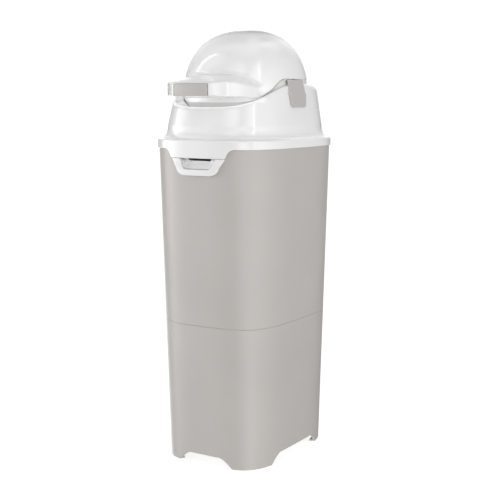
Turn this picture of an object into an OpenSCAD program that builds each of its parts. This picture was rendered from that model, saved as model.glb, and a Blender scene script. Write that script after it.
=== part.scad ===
// Flip-over nappy bin: a tapered two-section body, a hinged top cover with a wavy mouth, and a drum
// that turns over inside it on two pivot pins. The domed half of the drum is the closed lid. Turned
// to the back, the drum shows its chamber, and a loose piston in the chamber is the bowl's bottom.
// Turned forward again, the piston drops and pushes the nappy out of the mouth into the body.
// Millimetres, +Z up, front towards -Y, origin on the floor under the middle of the bin.

/* [Body] */
// Width of the body at the floor
base_w = 200; // [190:1:206]
// Depth of the body at the floor
base_d = 267; // [255:1:275]
// Width of the body at the rim
rim_w = 224; // [221:1:228]
// Depth of the body at the rim
rim_d = 297; // [292:1:300]
// Height of the body's rim
rim_z = 536; // [500:1:560]
// Squareness of the plan, as the power of a superellipse
plan_power = 3.8; // [3.2:0.1:4.4]
// Wall of both body sections
body_wall = 3; // [2:0.2:3.6]
// Height of the seam between the two sections
seam_z = 237; // [180:1:300]
// Open line between the two sections
seam_gap = 0.3; // [0.2:0.1:0.8]
// How far the lower section's spigot reaches into the upper one
spigot_h = 16; // [10:1:24]

/* [Feet] */
// Underside of the floor panel
floor_z = 22; // [20:1:40]
// Thickness of the floor panel
floor_t = 3; // [2:0.5:5]
// Half width of the arch between the front feet
front_arch_w = 52.5; // [40:0.5:62]
// Half width of the arch between the side feet
side_arch_w = 75.5; // [55:0.5:84]
// Length of each arch's sloping shoulder
arch_run = 24.5; // [16:0.5:36]
// Height of the arches
arch_h = 17; // [10:1:19]
// Width of the sole inside each foot
sole_w = 12; // [8:1:16]

/* [Cover] */
// Space between the body and the cover's collar
collar_gap = 0.7; // [0.6:0.1:1]
// Thickness of the collar's band
collar_t = 1.7; // [1.4:0.1:2.4]
// How far the collar reaches down over the rim
collar_drop = 10; // [7:1:12]
// Wall of the cover
cover_wall = 3; // [2.4:0.1:3.2]
// How far the hood's sides stand in from the rim
hood_in_x = 7.5; // [6:0.5:9]
// How far the hood's ends stand in from the rim
hood_in_y = 12; // [9.5:0.5:15.5]
// How much narrower the hood gets up to the mouth, on each side
hood_draft_x = 10.5; // [9.5:0.5:11]
// How much shorter the hood gets up to the mouth, at each end
hood_draft_y = 13.5; // [10:0.5:16]
// Height of the fillet between collar and hood
fillet_h = 20; // [14:1:24]
// Height of the mouth's edge above the rim, in front
mouth_front = 56.5; // [52:0.5:62]
// Height of the mouth's edge above the rim, behind
mouth_back = 95; // [91:0.5:96]
// Rounding of the mouth's outer edge, in front and over the pivots
mouth_round = 5; // [3:0.5:6]
// Rounding of that edge behind
mouth_round_back = 12; // [6:1:14]
// How far the hood's mouth stands back from its foot
hood_lean = 4.5; // [0:0.5:5]
// Half width of the front tab at its lower edge
tab_w = 50.5; // [46:0.5:56]
// How far the tab hangs below the collar
tab_drop = 14.5; // [11:0.5:17]
// Radius of the tab's shoulders
tab_round = 14; // [8:0.5:14.5]

/* [Drum] */
// Height of the drum's axis above the rim
axis_up = 79; // [76:0.5:82]
// How far the drum's middle stands in from the hood's foot
drum_in = 31.5; // [30.5:0.5:33.5]
// Space between the drum's ends and the cover's walls
drum_end_gap = 3.3; // [2.8:0.1:5.3]
// Fullness of the drum's rounded ends, as a superellipse power
drum_power = 2.95; // [2.6:0.05:3.2]
// Thickness of the dome
dome_t = 2.5; // [2:0.1:3]
// Step from the dome down to the drum's body
dome_step = 1.2; // [0.8:0.1:1.6]
// Inner depth of the drum's wall below the dome's surface
drum_wall = 5.2; // [4.8:0.1:6]
// Radius of the chamber
chamber_r = 60; // [56:0.5:61]
// Wall of the chamber tube
chamber_t = 2.2; // [1.6:0.1:2.4]
// Depth of the mouth plane below the axis
mouth_depth = 70; // [68:0.5:72]
// Height of the chamber's closed end above the axis
chamber_top = 60; // [50:1:64]
// Height of the piston
piston_h = 16; // [12:1:24]
// Space between the piston and the chamber
piston_gap = 0.4; // [0.3:0.05:0.8]

/* [Visor handle] */
// How far the visor reaches in front of the drum
visor_out = 66.5; // [62:0.5:70]
// How far the visor's sides stand in from the drum's ends
visor_in = 16; // [14:0.5:24]
// Height of the visor's front band
visor_h = 19; // [16:0.5:21]
// Height of the visor's underside at the dome, from the axis
visor_low = -8.5; // [-9:0.5:-6]
// How much higher its front lies
visor_lift = 3.5; // [0:0.5:5]
// Rise of the visor's top from its front band to the dome
visor_rise = 18; // [12:0.5:19]
// Width of the plate in the handle
plate_w = 66.5; // [50:0.5:76]
// Thickness of the plate
plate_t = 2.4; // [1.6:0.1:3]
// How far the plate stands out
plate_proud = 0.8; // [0.4:0.1:1.2]

/* [Pivots] */
// Radius of the pivot pins
pivot_r = 5; // [4:0.5:6]
// Running clearance of the pivot pins, on the radius
pivot_clear = 0.05; // [0.02:0.01:0.09]
// Wall of the pivot bushes
bush_t = 2.5; // [2:0.1:3]
// Radius of the pocket in each end of the drum
pocket_r = 22.5; // [21:0.5:23]
// Depth of that pocket
pocket_depth = 9.5; // [8:0.5:11]
// How far the drum turns, in degrees
flip_turn = 156; // [150:1:156]
// Width of the pivot strap at its bend
strap_w = 53; // [46:1:58]
// Height of the strap above the axis
strap_up = 21.5; // [18:0.5:22]
// Height of the strap below the axis
strap_down = 23; // [18:0.5:26]
// Thickness of the strap
strap_t = 2.4; // [1.8:0.1:3]

/* [Seal] */
// Depth of the seal below the axis
seal_down = 37; // [36.5:0.5:42]
// Thickness of the drum's seal
seal_t = 2.5; // [1.5:0.1:3]
// Space between the seal and the drum
seal_gap = 0.4; // [0.3:0.05:0.6]
// Thickness of the frame under the seal
frame_t = 3; // [2:0.1:4]
// Thickness of the gasket on the body's rim
gasket_t = 2; // [1.5:0.1:3]

/* [Latch] */
// Height of the latch's face below the tab
latch_h = 27; // [24:0.5:30]
// Half width of the finger scoop
scoop_w = 34; // [28:0.5:36]
// Height of the finger scoop
scoop_h = 17; // [14:0.5:19]
// Travel of the latch button
latch_travel = 4; // [3:0.5:5]
// Depth of the scoop behind the body's front
scoop_depth = 11; // [8:0.5:12]
// Turns of the latch spring
spring_turns = 4; // [3:1:6]

/* [Hinge] */
// Distance from the body's back wall to the hinge axis
hinge_out = 11; // [9:0.5:12]
// Depth of the hinge axis below the rim
hinge_down = 20; // [18:0.5:24]
// Radius of the hinge knuckles
knuckle_r = 6.5; // [5.5:0.1:7]
// Radius of the hinge pin
hinge_r = 3; // [2:0.1:3.5]
// Width of the cover's knuckle
knuckle_w = 39; // [30:1:46]
// Width of each of the bracket's knuckles
bracket_knuckle_w = 14; // [10:1:18]

/* [Hidden] */

shell_colour = "#b9b3ad";
gloss_colour = "#f1f1f0";
inner_colour = "#e4e4e2";
rubber_colour = "#9a9894";
steel_colour = "#c4c6c8";

eps = 0.01;
fit_gap = 0.2;      // parts of one body that seat on each other
move_gap = 0.3;     // parts that move past each other
reach = 400;        // longer than anything that it cuts
plan_steps = 64;    // points round the plan
drum_steps = 40;    // points along the drum's profile
$fn = 64;

axis_z = rim_z + axis_up;
collar_z = rim_z - collar_drop;
ledge_z = rim_z + gasket_t + fit_gap;
hood_z = ledge_z + cover_wall + fillet_h;
hood_power = 3.4;
hood_w = rim_w - 2 * hood_in_x;
hood_d = rim_d - 2 * hood_in_y;
mouth_front_z = rim_z + mouth_front;
mouth_back_z = rim_z + mouth_back;

// The hood's half width and half depth at height z
function hood_a(z) = hood_w / 2 - hood_draft_x * (z - hood_z) / (mouth_back_z - hood_z);
function hood_b(z) = hood_d / 2 - hood_draft_y * (z - hood_z) / (mouth_back_z - hood_z);

// How far the hood's middle stands back at height z
function hood_y(z) = hood_lean * (z - hood_z) / (mouth_back_z - hood_z);

drum_r = hood_d / 2 - drum_in;
drum_half = hood_a(axis_z) - cover_wall - drum_end_gap;
visor_reach = drum_r + visor_out;
visor_w = drum_half - visor_in;
drum_clear = 1.4;   // between the drum and what stands still beside it

// Radius of the drum at a distance x along its axis
function drum_radius(x) = drum_r * pow(1 - pow(x / drum_half, drum_power), 1 / drum_power);

// ---- Plan outlines and lofts ----

function signed_pow(v, p) = sign(v) * pow(abs(v), p);

function mix(a, b, t) = a + (b - a) * t;

function clamp01(t) = min(1, max(0, t));

// A closed level ring of points on a superellipse
function ring(a, b, z, power = plan_power) = [
    for (i = [0:plan_steps - 1])
        let (t = 360 * i / plan_steps)
        [a * signed_pow(cos(t), 2 / power), b * signed_pow(sin(t), 2 / power), z]
];

// A closed solid through a stack of rings, with each end closed to its own middle
module loft(rings) {
    n = len(rings[0]);
    m = len(rings);
    function middle(r) = [for (k = [0:2]) (min([for (p = r) p[k]]) + max([for (p = r) p[k]])) / 2];
    points = concat([for (r = rings) each r], [middle(rings[0]), middle(rings[m - 1])]);
    sides = [
        for (j = [0:m - 2], i = [0:n - 1])
            let (a = j * n + i, b = j * n + (i + 1) % n)
            each [[a, a + n, b + n], [a, b + n, b]]
    ];
    ends = [
        for (i = [0:n - 1])
            let (next = (i + 1) % n, top = (m - 1) * n)
            each [[m * n, i, next], [m * n + 1, top + next, top + i]]
    ];
    polyhedron(points = points, faces = concat(sides, ends), convexity = 6);
}

// Half width and half depth of the body's outside at height z
function body_a(z) = mix(base_w, rim_w, z / rim_z) / 2;
function body_b(z) = mix(base_d, rim_d, z / rim_z) / 2;

function body_ring(z, grow = 0) = ring(body_a(z) + grow, body_b(z) + grow, z);

// Distance of the body's front or back surface from its middle, at x and z
function body_face(x, z) = body_b(z) * pow(1 - pow(abs(x) / body_a(z), plan_power), 1 / plan_power);

// A ring of the rim's own size, which the collar keeps to so that it lifts off the tapered body
function rim_ring(z, grow = 0) = ring(body_a(rim_z) + grow, body_b(rim_z) + grow, z);

// The body's outer form between two heights, grown or shrunk
module body_form(z0, z1, grow = 0) {
    loft([body_ring(z0, grow), body_ring(z1, grow)]);
}

module body_tube(z0, z1, outer, inner) {
    difference() {
        body_form(z0, z1, outer);
        body_form(z0 - 1, z1 + 1, inner);
    }
}

// ---- Base section ----

// An arch's outline: flat at the top, with a shoulder that slopes down to each foot
module arch_outline(half_w) {
    shoulder = [
        for (t = [0:0.1:1])
            [half_w - arch_run * (1 - t), arch_h * (1 - pow(t, 1.65))]
    ];
    below = [[half_w + 1, -1.2]];
    half = concat(shoulder, below);
    polygon(concat(half, [for (i = [len(half) - 1:-1:0]) [-half[i][0], half[i][1]]]));
}

module arches() {
    rotate([90, 0, 0])
        linear_extrude(2 * reach, center = true)
            arch_outline(front_arch_w);
    rotate([90, 0, 90])
        linear_extrude(2 * reach, center = true)
            arch_outline(side_arch_w);
}

module base_section() {
    spigot_in = body_wall + fit_gap;
    spigot_t = 2.4;
    color(shell_colour)
    union() {
        difference() {
            union() {
                body_tube(0, seam_z, 0, -body_wall);
                body_tube(0, 3, -body_wall + 1, -body_wall - sole_w);
            }
            arches();
        }
        body_form(floor_z, floor_z + floor_t, -body_wall + 1);
        body_tube(seam_z - spigot_h, seam_z - eps, -body_wall + 1, -spigot_in - spigot_t);
        body_tube(seam_z - 1, seam_z + spigot_h, -spigot_in, -spigot_in - spigot_t);
    }
}

// ---- Upper body section ----

latch_top = collar_z - tab_drop - 0.5;
latch_z = latch_top - latch_h / 2;
scoop_low = latch_top - scoop_h;
front_y = -body_b(scoop_low);
duct_t = 1.6;
duct_end = front_y + 12.4;
screw_r = 1.4;
latch_screw_x = 44.5;
latch_screw_z = latch_top - 5;

module latch_screw_holes(r, depth_from, depth_to) {
    for (side = [-1, 1])
        translate([side * latch_screw_x, depth_from, latch_screw_z])
            rotate([-90, 0, 0])
                cylinder(h = depth_to - depth_from, r = r, $fn = 24);
}

hinge_y = body_b(rim_z - hinge_down) + hinge_out;
hinge_z = rim_z - hinge_down;
hinge_screw_xs = [-32, 0, 32];
hinge_screw_z = hinge_z - 19;
bracket_t = 3;

module hinge_screw_places() {
    for (x = hinge_screw_xs)
        translate([x, body_b(hinge_screw_z), hinge_screw_z])
            rotate([-90, 0, 0])
                children();
}

module body_shell() {
    color(shell_colour)
    difference() {
        loft([
            body_ring(seam_z + seam_gap),
            body_ring(rim_z - 2.5),
            body_ring(rim_z, -1)
        ]);
        body_form(seam_z - 1, rim_z + 1, -body_wall);
        translate([-scoop_w - duct_t - 1, front_y - 5, scoop_low - duct_t - 1])
            cube([2 * (scoop_w + duct_t + 1), 12, scoop_h + duct_t + 2]);
        latch_screw_holes(screw_r + 0.2, front_y - 5, front_y + 8);
        hinge_screw_places()
            translate([0, 0, -8])
                cylinder(h = 16, r = screw_r + 0.2, $fn = 24);
    }
}

// ---- Latch ----

// Front outline of the latch's face: wide at the tab, round at its lower corners
module latch_outline() {
    corner_r = 15;
    low_w = tab_w / 2 - 0.75;
    low_z = latch_top - latch_h;
    polygon(concat(
        [[tab_w, latch_top]],
        [for (t = [-20:-10:-90]) [low_w + corner_r * cos(t), low_z + corner_r + corner_r * sin(t)]],
        [for (t = [-90:-10:-160]) [-low_w + corner_r * cos(t), low_z + corner_r + corner_r * sin(t)]],
        [[-tab_w, latch_top]]
    ));
}

// Finger scoop outline: open at the top, with leaning sides and round lower corners
module scoop_outline(grow = 0, top = latch_top + 1) {
    corner_r = 10;
    lean = 4;
    half_w = scoop_w + grow;
    low_w = half_w - lean - corner_r;
    low_z = scoop_low - grow;
    polygon(concat(
        [[half_w, top]],
        [for (t = [-15:-15:-90]) [low_w + corner_r * cos(t), low_z + corner_r + corner_r * sin(t)]],
        [for (t = [-90:-15:-165]) [-low_w + corner_r * cos(t), low_z + corner_r + corner_r * sin(t)]],
        [[-half_w, top]]
    ));
}

// Stands an XZ outline up and gives it a depth from y0 to y1
module stand(y0, y1) {
    translate([0, y1, 0])
        rotate([90, 0, 0])
            linear_extrude(y1 - y0)
                children();
}

// Gives a YZ outline a width from x0 to x1
module across(x0, x1) {
    translate([x0, 0, 0])
        rotate([90, 0, 90])
            linear_extrude(x1 - x0)
                children();
}

module latch_frame() {
    face_low = latch_top - latch_h - 5;
    color(gloss_colour)
    difference() {
        union() {
            intersection() {
                stand(front_y - 20, front_y + 20) latch_outline();
                body_tube(face_low, latch_top, collar_gap + collar_t, 0.1);
            }
            intersection() {
                stand(front_y - 2, duct_end) scoop_outline(duct_t, latch_top - 0.5);
                body_form(face_low, latch_top, 1);
            }
        }
        stand(front_y - 20, duct_end + 1) scoop_outline();
        latch_screw_holes(screw_r + 0.05, -body_face(latch_screw_x, latch_screw_z) - 1.5, front_y + 8);
    }
}

button_back = duct_end + 1.4;
spring_seat = button_back + latch_travel + 5.4;
hook_z = collar_z - 4;
catch_y = -body_b(rim_z) + body_wall + 1.8;
catch_t = 2.3;
foot_reach = latch_travel - 1.4;

module latch_button() {
    pad_low = scoop_low + 0.4;
    pad_high = latch_top - 3.4;
    pad_front = front_y - 1;
    stem_t = 3;
    nose_y = catch_y + catch_t + foot_reach + move_gap;
    color(gloss_colour)
    union() {
        intersection() {
            stand(pad_front - 5, button_back) scoop_outline(-0.4);
            across(-scoop_w, scoop_w)
                polygon(concat(
                    [for (t = [0:10:90]) [
                        pad_front + (scoop_depth + 1) * sin(t),
                        pad_low + 1.2 + (pad_high - pad_low - 1.2) * (1 - cos(t))
                    ]],
                    [[button_back, pad_high], [button_back, pad_low - 1], [pad_front, pad_low - 1]]
                ));
        }
        translate([-scoop_w - 3, button_back - 1, pad_low + 2])
            cube([2 * scoop_w + 6, 2, 8]);
        across(-15, 15)
            polygon([
                [button_back + 1, pad_high - 6],
                [button_back + 1, hook_z + 3],
                [nose_y, hook_z + 1],
                [nose_y, hook_z - 1],
                [button_back + 1 - stem_t, hook_z - 3],
                [button_back + 1 - stem_t, pad_high - 6]
            ]);
    }
}

module latch_housing() {
    arm_x = scoop_w + duct_t + 3.4;
    arm_t = 2;
    low = latch_z - 6;
    high = latch_top - 1;
    wall_y = -body_b(latch_z) + body_wall;
    spring_z = scoop_low + 7.5;
    color(inner_colour)
    difference() {
        union() {
            for (side = [0, 1])
                mirror([side, 0, 0]) {
                    translate([arm_x, wall_y - 1, low])
                        cube([arm_t, spring_seat + 2 - wall_y + 1, high - low]);
                    translate([arm_x, wall_y - 1, low])
                        cube([10, 4.5, high - low]);
                }
            translate([-arm_x - arm_t, spring_seat, low])
                cube([2 * (arm_x + arm_t), 2, high - low]);
            translate([0, spring_seat + 1, spring_z])
                rotate([90, 0, 0])
                    cylinder(h = 5, r = 3.2, $fn = 32);
        }
        body_tube(low - 5, high + 5, 5, -body_wall - 0.15);
        latch_screw_holes(screw_r + 0.2, wall_y - 5, wall_y + 12);
    }
}

// A wire wound about the Y axis from y0 to y1
module coil(y0, y1, coil_r, wire_r, turns) {
    sides = 8;
    steps = 14 * turns;
    rings = [
        for (k = [0:steps])
            let (turn = 360 * turns * k / steps)
            let (y = mix(y0 + wire_r, y1 - wire_r, k / steps))
            [for (s = [0:sides - 1])
                let (a = -360 * s / sides, r = coil_r + wire_r * cos(a))
                [r * cos(turn), y + wire_r * sin(a), r * sin(turn)]]
    ];
    loft(rings);
}

module latch_spring() {
    color(steel_colour)
    translate([0, 0, scoop_low + 7.5])
        coil(button_back + 1 + fit_gap, spring_seat - fit_gap, 5, 0.6, spring_turns);
}

wall_screw_l = 7;   // shank of the screws into the body's walls
drum_screw_l = 12;  // shank of the screws into the drum's posts
frame_screw_bite = 8;   // how far the frame screws reach into the columns

// A pan head screw: its head stands on z = 0, its shank above
module pan_screw(shank_r, length, head_r, head_h) {
    rotate_extrude($fn = 32)
        polygon([
            [0, 0], [0, length + head_h], [shank_r - 0.5, length + head_h], [shank_r, length + head_h - 0.8],
            [shank_r, head_h], [head_r, head_h], [head_r, head_h * 0.45], [head_r - 0.8, 0]
        ]);
}

module latch_screws() {
    flange_y = -body_b(latch_z) + body_wall + 3.5;
    color(steel_colour)
    for (side = [-1, 1])
        translate([side * latch_screw_x, flange_y + 1.6 + 0.05, latch_screw_z])
            rotate([90, 0, 0])
                pan_screw(screw_r, wall_screw_l, 2.8, 1.6);
}

// ---- Rear hinge ----

module knuckle(x0, x1, r = knuckle_r) {
    translate([x0, hinge_y, hinge_z])
        rotate([0, 90, 0])
            cylinder(h = x1 - x0, r = r);
}

module hinge_bracket() {
    half_w = knuckle_w / 2 + bracket_knuckle_w + 8;
    back_y = body_b(hinge_z);
    color(shell_colour)
    difference() {
        union() {
            intersection() {
                body_tube(hinge_z - 24, hinge_z + 5, bracket_t, 0.1);
                translate([-half_w, 0, hinge_z - 24])
                    cube([2 * half_w, reach, 29]);
            }
            for (side = [0, 1])
                mirror([side, 0, 0]) {
                    knuckle(knuckle_w / 2 + move_gap, knuckle_w / 2 + bracket_knuckle_w);
                    across(knuckle_w / 2 + move_gap, knuckle_w / 2 + bracket_knuckle_w)
                        polygon([
                            [back_y + 1, hinge_z - 14],
                            [hinge_y, hinge_z - knuckle_r],
                            [hinge_y, hinge_z],
                            [back_y + 1, hinge_z + 4]
                        ]);
                }
        }
        body_form(hinge_z - 40, hinge_z + 20, 0.1);
        knuckle(-reach, reach, hinge_r + pivot_clear);
        hinge_screw_places()
            translate([0, 0, -2])
                cylinder(h = 14, r = screw_r + 0.2, $fn = 24);
    }
}

module hinge_screws() {
    color(steel_colour)
    hinge_screw_places()
        translate([0, 0, bracket_t + 1.6 + fit_gap])
            rotate([180, 0, 0])
                pan_screw(screw_r, wall_screw_l, 3.2, 1.6);
}

module hinge_pin() {
    half_l = knuckle_w / 2 + bracket_knuckle_w + 1;
    color(steel_colour)
    knuckle(-half_l, half_l, hinge_r);
}

// ---- Top cover ----

// Height of the mouth's outer edge: low in front, high from the pivots backwards
function mouth_z(y) =
    mix(mouth_front_z, mouth_back_z, sin(90 * clamp01((y + hood_d / 2 - 6.5) / (hood_d / 2))));

function smooth(t) = t * t * (3 - 2 * t);

// Rounding of the mouth's outer edge: it grows from the pivots to the back corners
function mouth_edge_r(y) = mix(mouth_round, mouth_round_back, smooth(clamp01((y - 20) / 60)));

// A ring on the hood: f runs from its foot to the mouth's edge, and drop lies below that edge.
// bend is how far the ring has gone round the edge's rounding: inwards and down, in radii.
function hood_ring(f, inset, drop, bend) = [
    for (p = ring(hood_w / 2, hood_d / 2, 0, hood_power))
        let (r = mouth_edge_r(p[1]))
        let (z = mix(hood_z, mouth_z(p[1] * 0.95), f) - drop - bend[1] * r)
        let (a = hood_a(z) - inset - bend[0] * r, b = hood_b(z) - inset - bend[0] * r)
        [p[0] * a / (hood_w / 2), p[1] * b / (hood_d / 2) + hood_y(z), z]
];

// A ring on the concave fillet between collar and hood, s from 0 at the collar to 1
function fillet_ring(s, thick) =
    let (start = 0.3, w = start + (1 - start) * sin(90 * s))
    let (z = hood_z - fillet_h + fillet_h * (1 - cos(90 * s)) - thick * cos(90 * s))
    let (grow = collar_gap + collar_t)
    ring(
        mix(body_a(rim_z) + grow, hood_w / 2, w) - thick * sin(90 * s),
        mix(body_b(rim_z) + grow, hood_d / 2, w) - thick * sin(90 * s),
        z, mix(plan_power, hood_power, w)
    );

function mouth_rings(thick) = [
    hood_ring(0.4, thick, 0, [0, 0.4]),
    hood_ring(0.75, thick, 0, [0, 0.75]),
    for (t = [0:30:90])
        hood_ring(1, thick, thick, [1 - cos(t), 1 - sin(t)]),
    hood_ring(1, thick + 6, thick + 1, [1, 0]),
    hood_ring(1, thick + 13, thick + 3.4, [1, 0]),
    hood_ring(1, thick + 30, thick + 11, [1, 0])
];

module cover_outside() {
    grow = collar_gap + collar_t;
    loft(concat(
        [
            rim_ring(collar_z, grow - 0.4),
            rim_ring(collar_z + 0.8, grow),
            rim_ring(ledge_z - 1, grow),
            rim_ring(ledge_z + 1.6, grow - 0.8),
            rim_ring(ledge_z + cover_wall - 0.2, grow - 2.6)
        ],
        [for (s = [0:0.2:1]) fillet_ring(s, 0)],
        mouth_rings(0)
    ));
}

module cover_inside() {
    loft(concat(
        [rim_ring(collar_z - 1, collar_gap), rim_ring(ledge_z, collar_gap)],
        [for (s = [0:0.25:1]) fillet_ring(s, cover_wall)],
        mouth_rings(cover_wall)
    ));
}

// The drum's outer form about its axis, shrunk by inset
module drum_form(inset = 0) {
    half_l = drum_half - inset;
    radius = drum_r - inset;
    translate([0, 0, axis_z])
        rotate([0, 90, 0])
            rotate_extrude($fn = 128)
                polygon([
                    for (i = [0:drum_steps])
                        let (t = 180 * i / drum_steps)
                        [radius * pow(sin(t), 2 / drum_power), -half_l * signed_pow(cos(t), 2 / drum_power)]
                ]);
}

// Tab outline: its lower edge meets the latch, its shoulders run up into the collar
module tab_outline() {
    low_z = collar_z - tab_drop;
    shoulder = tab_w + 2;
    half = concat(
        [[tab_w, low_z]],
        [for (t = [180:-15:90]) [
            shoulder + tab_round + tab_round * cos(t),
            collar_z - tab_round + tab_round * sin(t)
        ]],
        [[shoulder + tab_round, collar_z + 4]]
    );
    polygon(concat(half, [for (i = [len(half) - 1:-1:0]) [-half[i][0], half[i][1]]]));
}

boss_r = 15;
boss_end = drum_half - pocket_depth + 1.5;
column_r = 5;
column_x = hood_w / 3;
column_y = drum_radius(column_x - column_r) + drum_clear + column_r + 1.5;
seal_z = axis_z - seal_down;

module column_places() {
    for (x = [-column_x, column_x], y = [-column_y, column_y])
        translate([x, y, 0])
            children();
}

// Turns a stop block about the drum's axis, from angle a0 to a1 seen from +X, 0 towards the back
module stop_block(x0, x1, r0, r1, a0, a1) {
    across(x0, x1)
        translate([0, axis_z])
            polygon(concat(
                [for (i = [0:8]) r1 * [cos(mix(a0, a1, i / 8)), sin(mix(a0, a1, i / 8))]],
                [for (i = [8:-1:0]) r0 * [cos(mix(a0, a1, i / 8)), sin(mix(a0, a1, i / 8))]]
            ));
}

lug_half = 8;       // half angle of the stop lug on each boss
lug_angle = -90;    // the lug points down

head_space = 3.5;   // depth of the counterbore for a pivot pin's head

module pivot_boss() {
    low = axis_z - 2 * boss_r;
    high = axis_z + 2 * boss_r;
    intersection() {
        translate([boss_end, 0, axis_z])
            rotate([0, 90, 0])
                cylinder(h = 40, r = boss_r);
        stand(-2 * boss_r, 2 * boss_r)
            polygon([[0, low], [hood_a(low) - 1, low], [hood_a(high) - 1, high], [0, high]]);
    }
    stop_block(boss_end, boss_end + 6, boss_r - 1, pocket_r - 2, lug_angle - lug_half, lug_angle + lug_half);
}

module pivot_bore() {
    translate([boss_end - 1, 0, axis_z])
        rotate([0, 90, 0])
            cylinder(h = 40, r = pivot_r + bush_t + fit_gap / 2);
    translate([hood_a(axis_z) - head_space, 0, axis_z])
        rotate([0, 90, 0])
            cylinder(h = 20, r = pivot_r + bush_t + 2);
}

strap_peg_y = 14;
strap_peg_z = axis_z - 14;
strap_peg_r = 3;

module strap_pegs(r, x0, x1) {
    for (y = [-strap_peg_y, strap_peg_y])
        translate([x0, y, strap_peg_z])
            rotate([0, 90, 0])
                cylinder(h = x1 - x0, r = r, $fn = 32);
}

module top_cover() {
    color(gloss_colour)
    difference() {
        union() {
            difference() {
                union() {
                    difference() {
                        cover_outside();
                        cover_inside();
                    }
                    for (x = [-column_x, column_x], y = [-column_y, column_y])
                        translate([x, y, seal_z + seal_t + 0.1])
                            cylinder(h = mouth_z(y) - 6.5 - seal_z - seal_t, r = column_r, $fn = 32);
                }
                drum_form(-drum_clear);
            }
            intersection() {
                difference() {
                    loft([for (z = [collar_z - tab_drop, collar_z + 4]) rim_ring(z, collar_gap + collar_t)]);
                    loft([for (z = [collar_z - tab_drop - 1, collar_z + 5]) rim_ring(z, collar_gap)]);
                }
                stand(-reach, 0) tab_outline();
            }
            translate([-16, catch_y, hook_z - 6.5])
                cube([32, catch_t, ledge_z + 1 - hook_z + 6.5]);
            translate([-16, catch_y, hook_z - 6.5])
                cube([32, catch_t + foot_reach, 3]);
            for (side = [0, 1])
                mirror([side, 0, 0])
                    pivot_boss();
            difference() {
                union() {
                    knuckle(-knuckle_w / 2, knuckle_w / 2);
                    across(-knuckle_w / 2, knuckle_w / 2)
                        polygon([
                            [body_b(rim_z) + collar_gap + 1, ledge_z],
                            [body_b(rim_z) + collar_gap + 1, collar_z + 1],
                            [hinge_y - knuckle_r + 1.2, hinge_z + 3],
                            [hinge_y, hinge_z],
                            [hinge_y + knuckle_r, hinge_z],
                            [hinge_y + knuckle_r - 1, hinge_z + 8],
                            [body_b(rim_z) + collar_gap + collar_t + 2, ledge_z]
                        ]);
                }
                body_form(hinge_z - 20, ledge_z, collar_gap);
            }
        }
        for (side = [0, 1])
            mirror([side, 0, 0]) {
                pivot_bore();
                strap_pegs(strap_peg_r + 0.1, drum_half + 1, reach);
            }
        knuckle(-reach, reach, hinge_r + pivot_clear);
        column_places()
            translate([0, 0, seal_z])
                cylinder(h = 14, r = screw_r + 0.05, $fn = 24);
    }
}

module lid_gasket() {
    color(rubber_colour)
    body_tube(rim_z + fit_gap, rim_z + fit_gap + gasket_t - 0.1, collar_gap - 0.3, -body_wall - 0.5);
}

// ---- Seal round the drum ----

// A level slice of the hood's inner form
module hood_slice(z0, thick, inset) {
    loft([
        for (z = [z0, z0 + thick])
            [for (p = ring(hood_a(z) - cover_wall - inset, hood_b(z) - cover_wall - inset, z, hood_power))
                p + [0, hood_y(z), 0]]
    ]);
}

module seal_frame() {
    color(inner_colour)
    difference() {
        hood_slice(seal_z - frame_t, frame_t - 0.1, 0.4);
        drum_form(-3.5);
        column_places()
            translate([0, 0, seal_z - frame_t - 1])
                cylinder(h = frame_t + 2, r = screw_r + 0.2, $fn = 24);
    }
}

module drum_seal() {
    color(rubber_colour)
    difference() {
        hood_slice(seal_z, seal_t, 2);
        drum_form(-seal_gap);
        column_places()
            translate([0, 0, seal_z - 1])
                cylinder(h = seal_t + 2, r = screw_r + 0.2, $fn = 24);
    }
}

module frame_screws() {
    color(steel_colour)
    column_places()
        translate([0, 0, seal_z - frame_t - 2 - 0.05])
            pan_screw(screw_r, frame_t + seal_t + frame_screw_bite, 3.2, 2);
}

// ---- Pivots ----

module pivot_bush(side) {
    color(inner_colour)
    scale([side, 1, 1])
        translate([boss_end, 0, axis_z])
            rotate([0, 90, 0])
                difference() {
                    cylinder(h = hood_a(axis_z) - head_space - boss_end, r = pivot_r + bush_t);
                    translate([0, 0, -1])
                        cylinder(h = 40, r = pivot_r + pivot_clear);
                }
}

module pivot_bush_left() pivot_bush(-1);

module pivot_bush_right() pivot_bush(1);

// Strap outline seen from the side: round at its lower corners, widest at its bend
module strap_outline() {
    low_r = 6;
    top_r = 3;
    low_w = strap_w / 2 - 2.6;
    half = concat(
        [for (t = [-90:15:0]) [low_w - low_r + low_r * cos(t), -strap_down + low_r + low_r * sin(t)]],
        [[strap_w / 2, 1]],
        [for (t = [0:15:90]) [low_w + 0.6 - top_r + top_r * cos(t), strap_up - top_r + top_r * sin(t)]]
    );
    translate([0, axis_z])
        polygon(concat(half, [for (i = [len(half) - 1:-1:0]) [-half[i][0], half[i][1]]]));
}

module pivot_strap(side) {
    low = axis_z - strap_down - 1;
    bend = axis_z + 1;
    high = axis_z + strap_up + 1;
    top_in = drum_half + 1;
    function seat(z) = hood_a(z) + move_gap;
    color(shell_colour)
    scale([side, 1, 1])
    union() {
        intersection() {
            across(drum_half, drum_half + 20) strap_outline();
            stand(-reach, reach)
                polygon([
                    [seat(low), low],
                    [seat(low) + strap_t, low],
                    [seat(bend) + strap_t, bend],
                    [top_in + strap_t, high],
                    [top_in, high],
                    [seat(mouth_back_z), mouth_back_z + 0.5],
                    [seat(bend), bend]
                ]);
        }
        strap_pegs(strap_peg_r, hood_a(strap_peg_z) - cover_wall, seat(strap_peg_z) + 1);
    }
}

module pivot_strap_left() pivot_strap(-1);

module pivot_strap_right() pivot_strap(1);

pin_in = chamber_r + chamber_t + 3;

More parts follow.
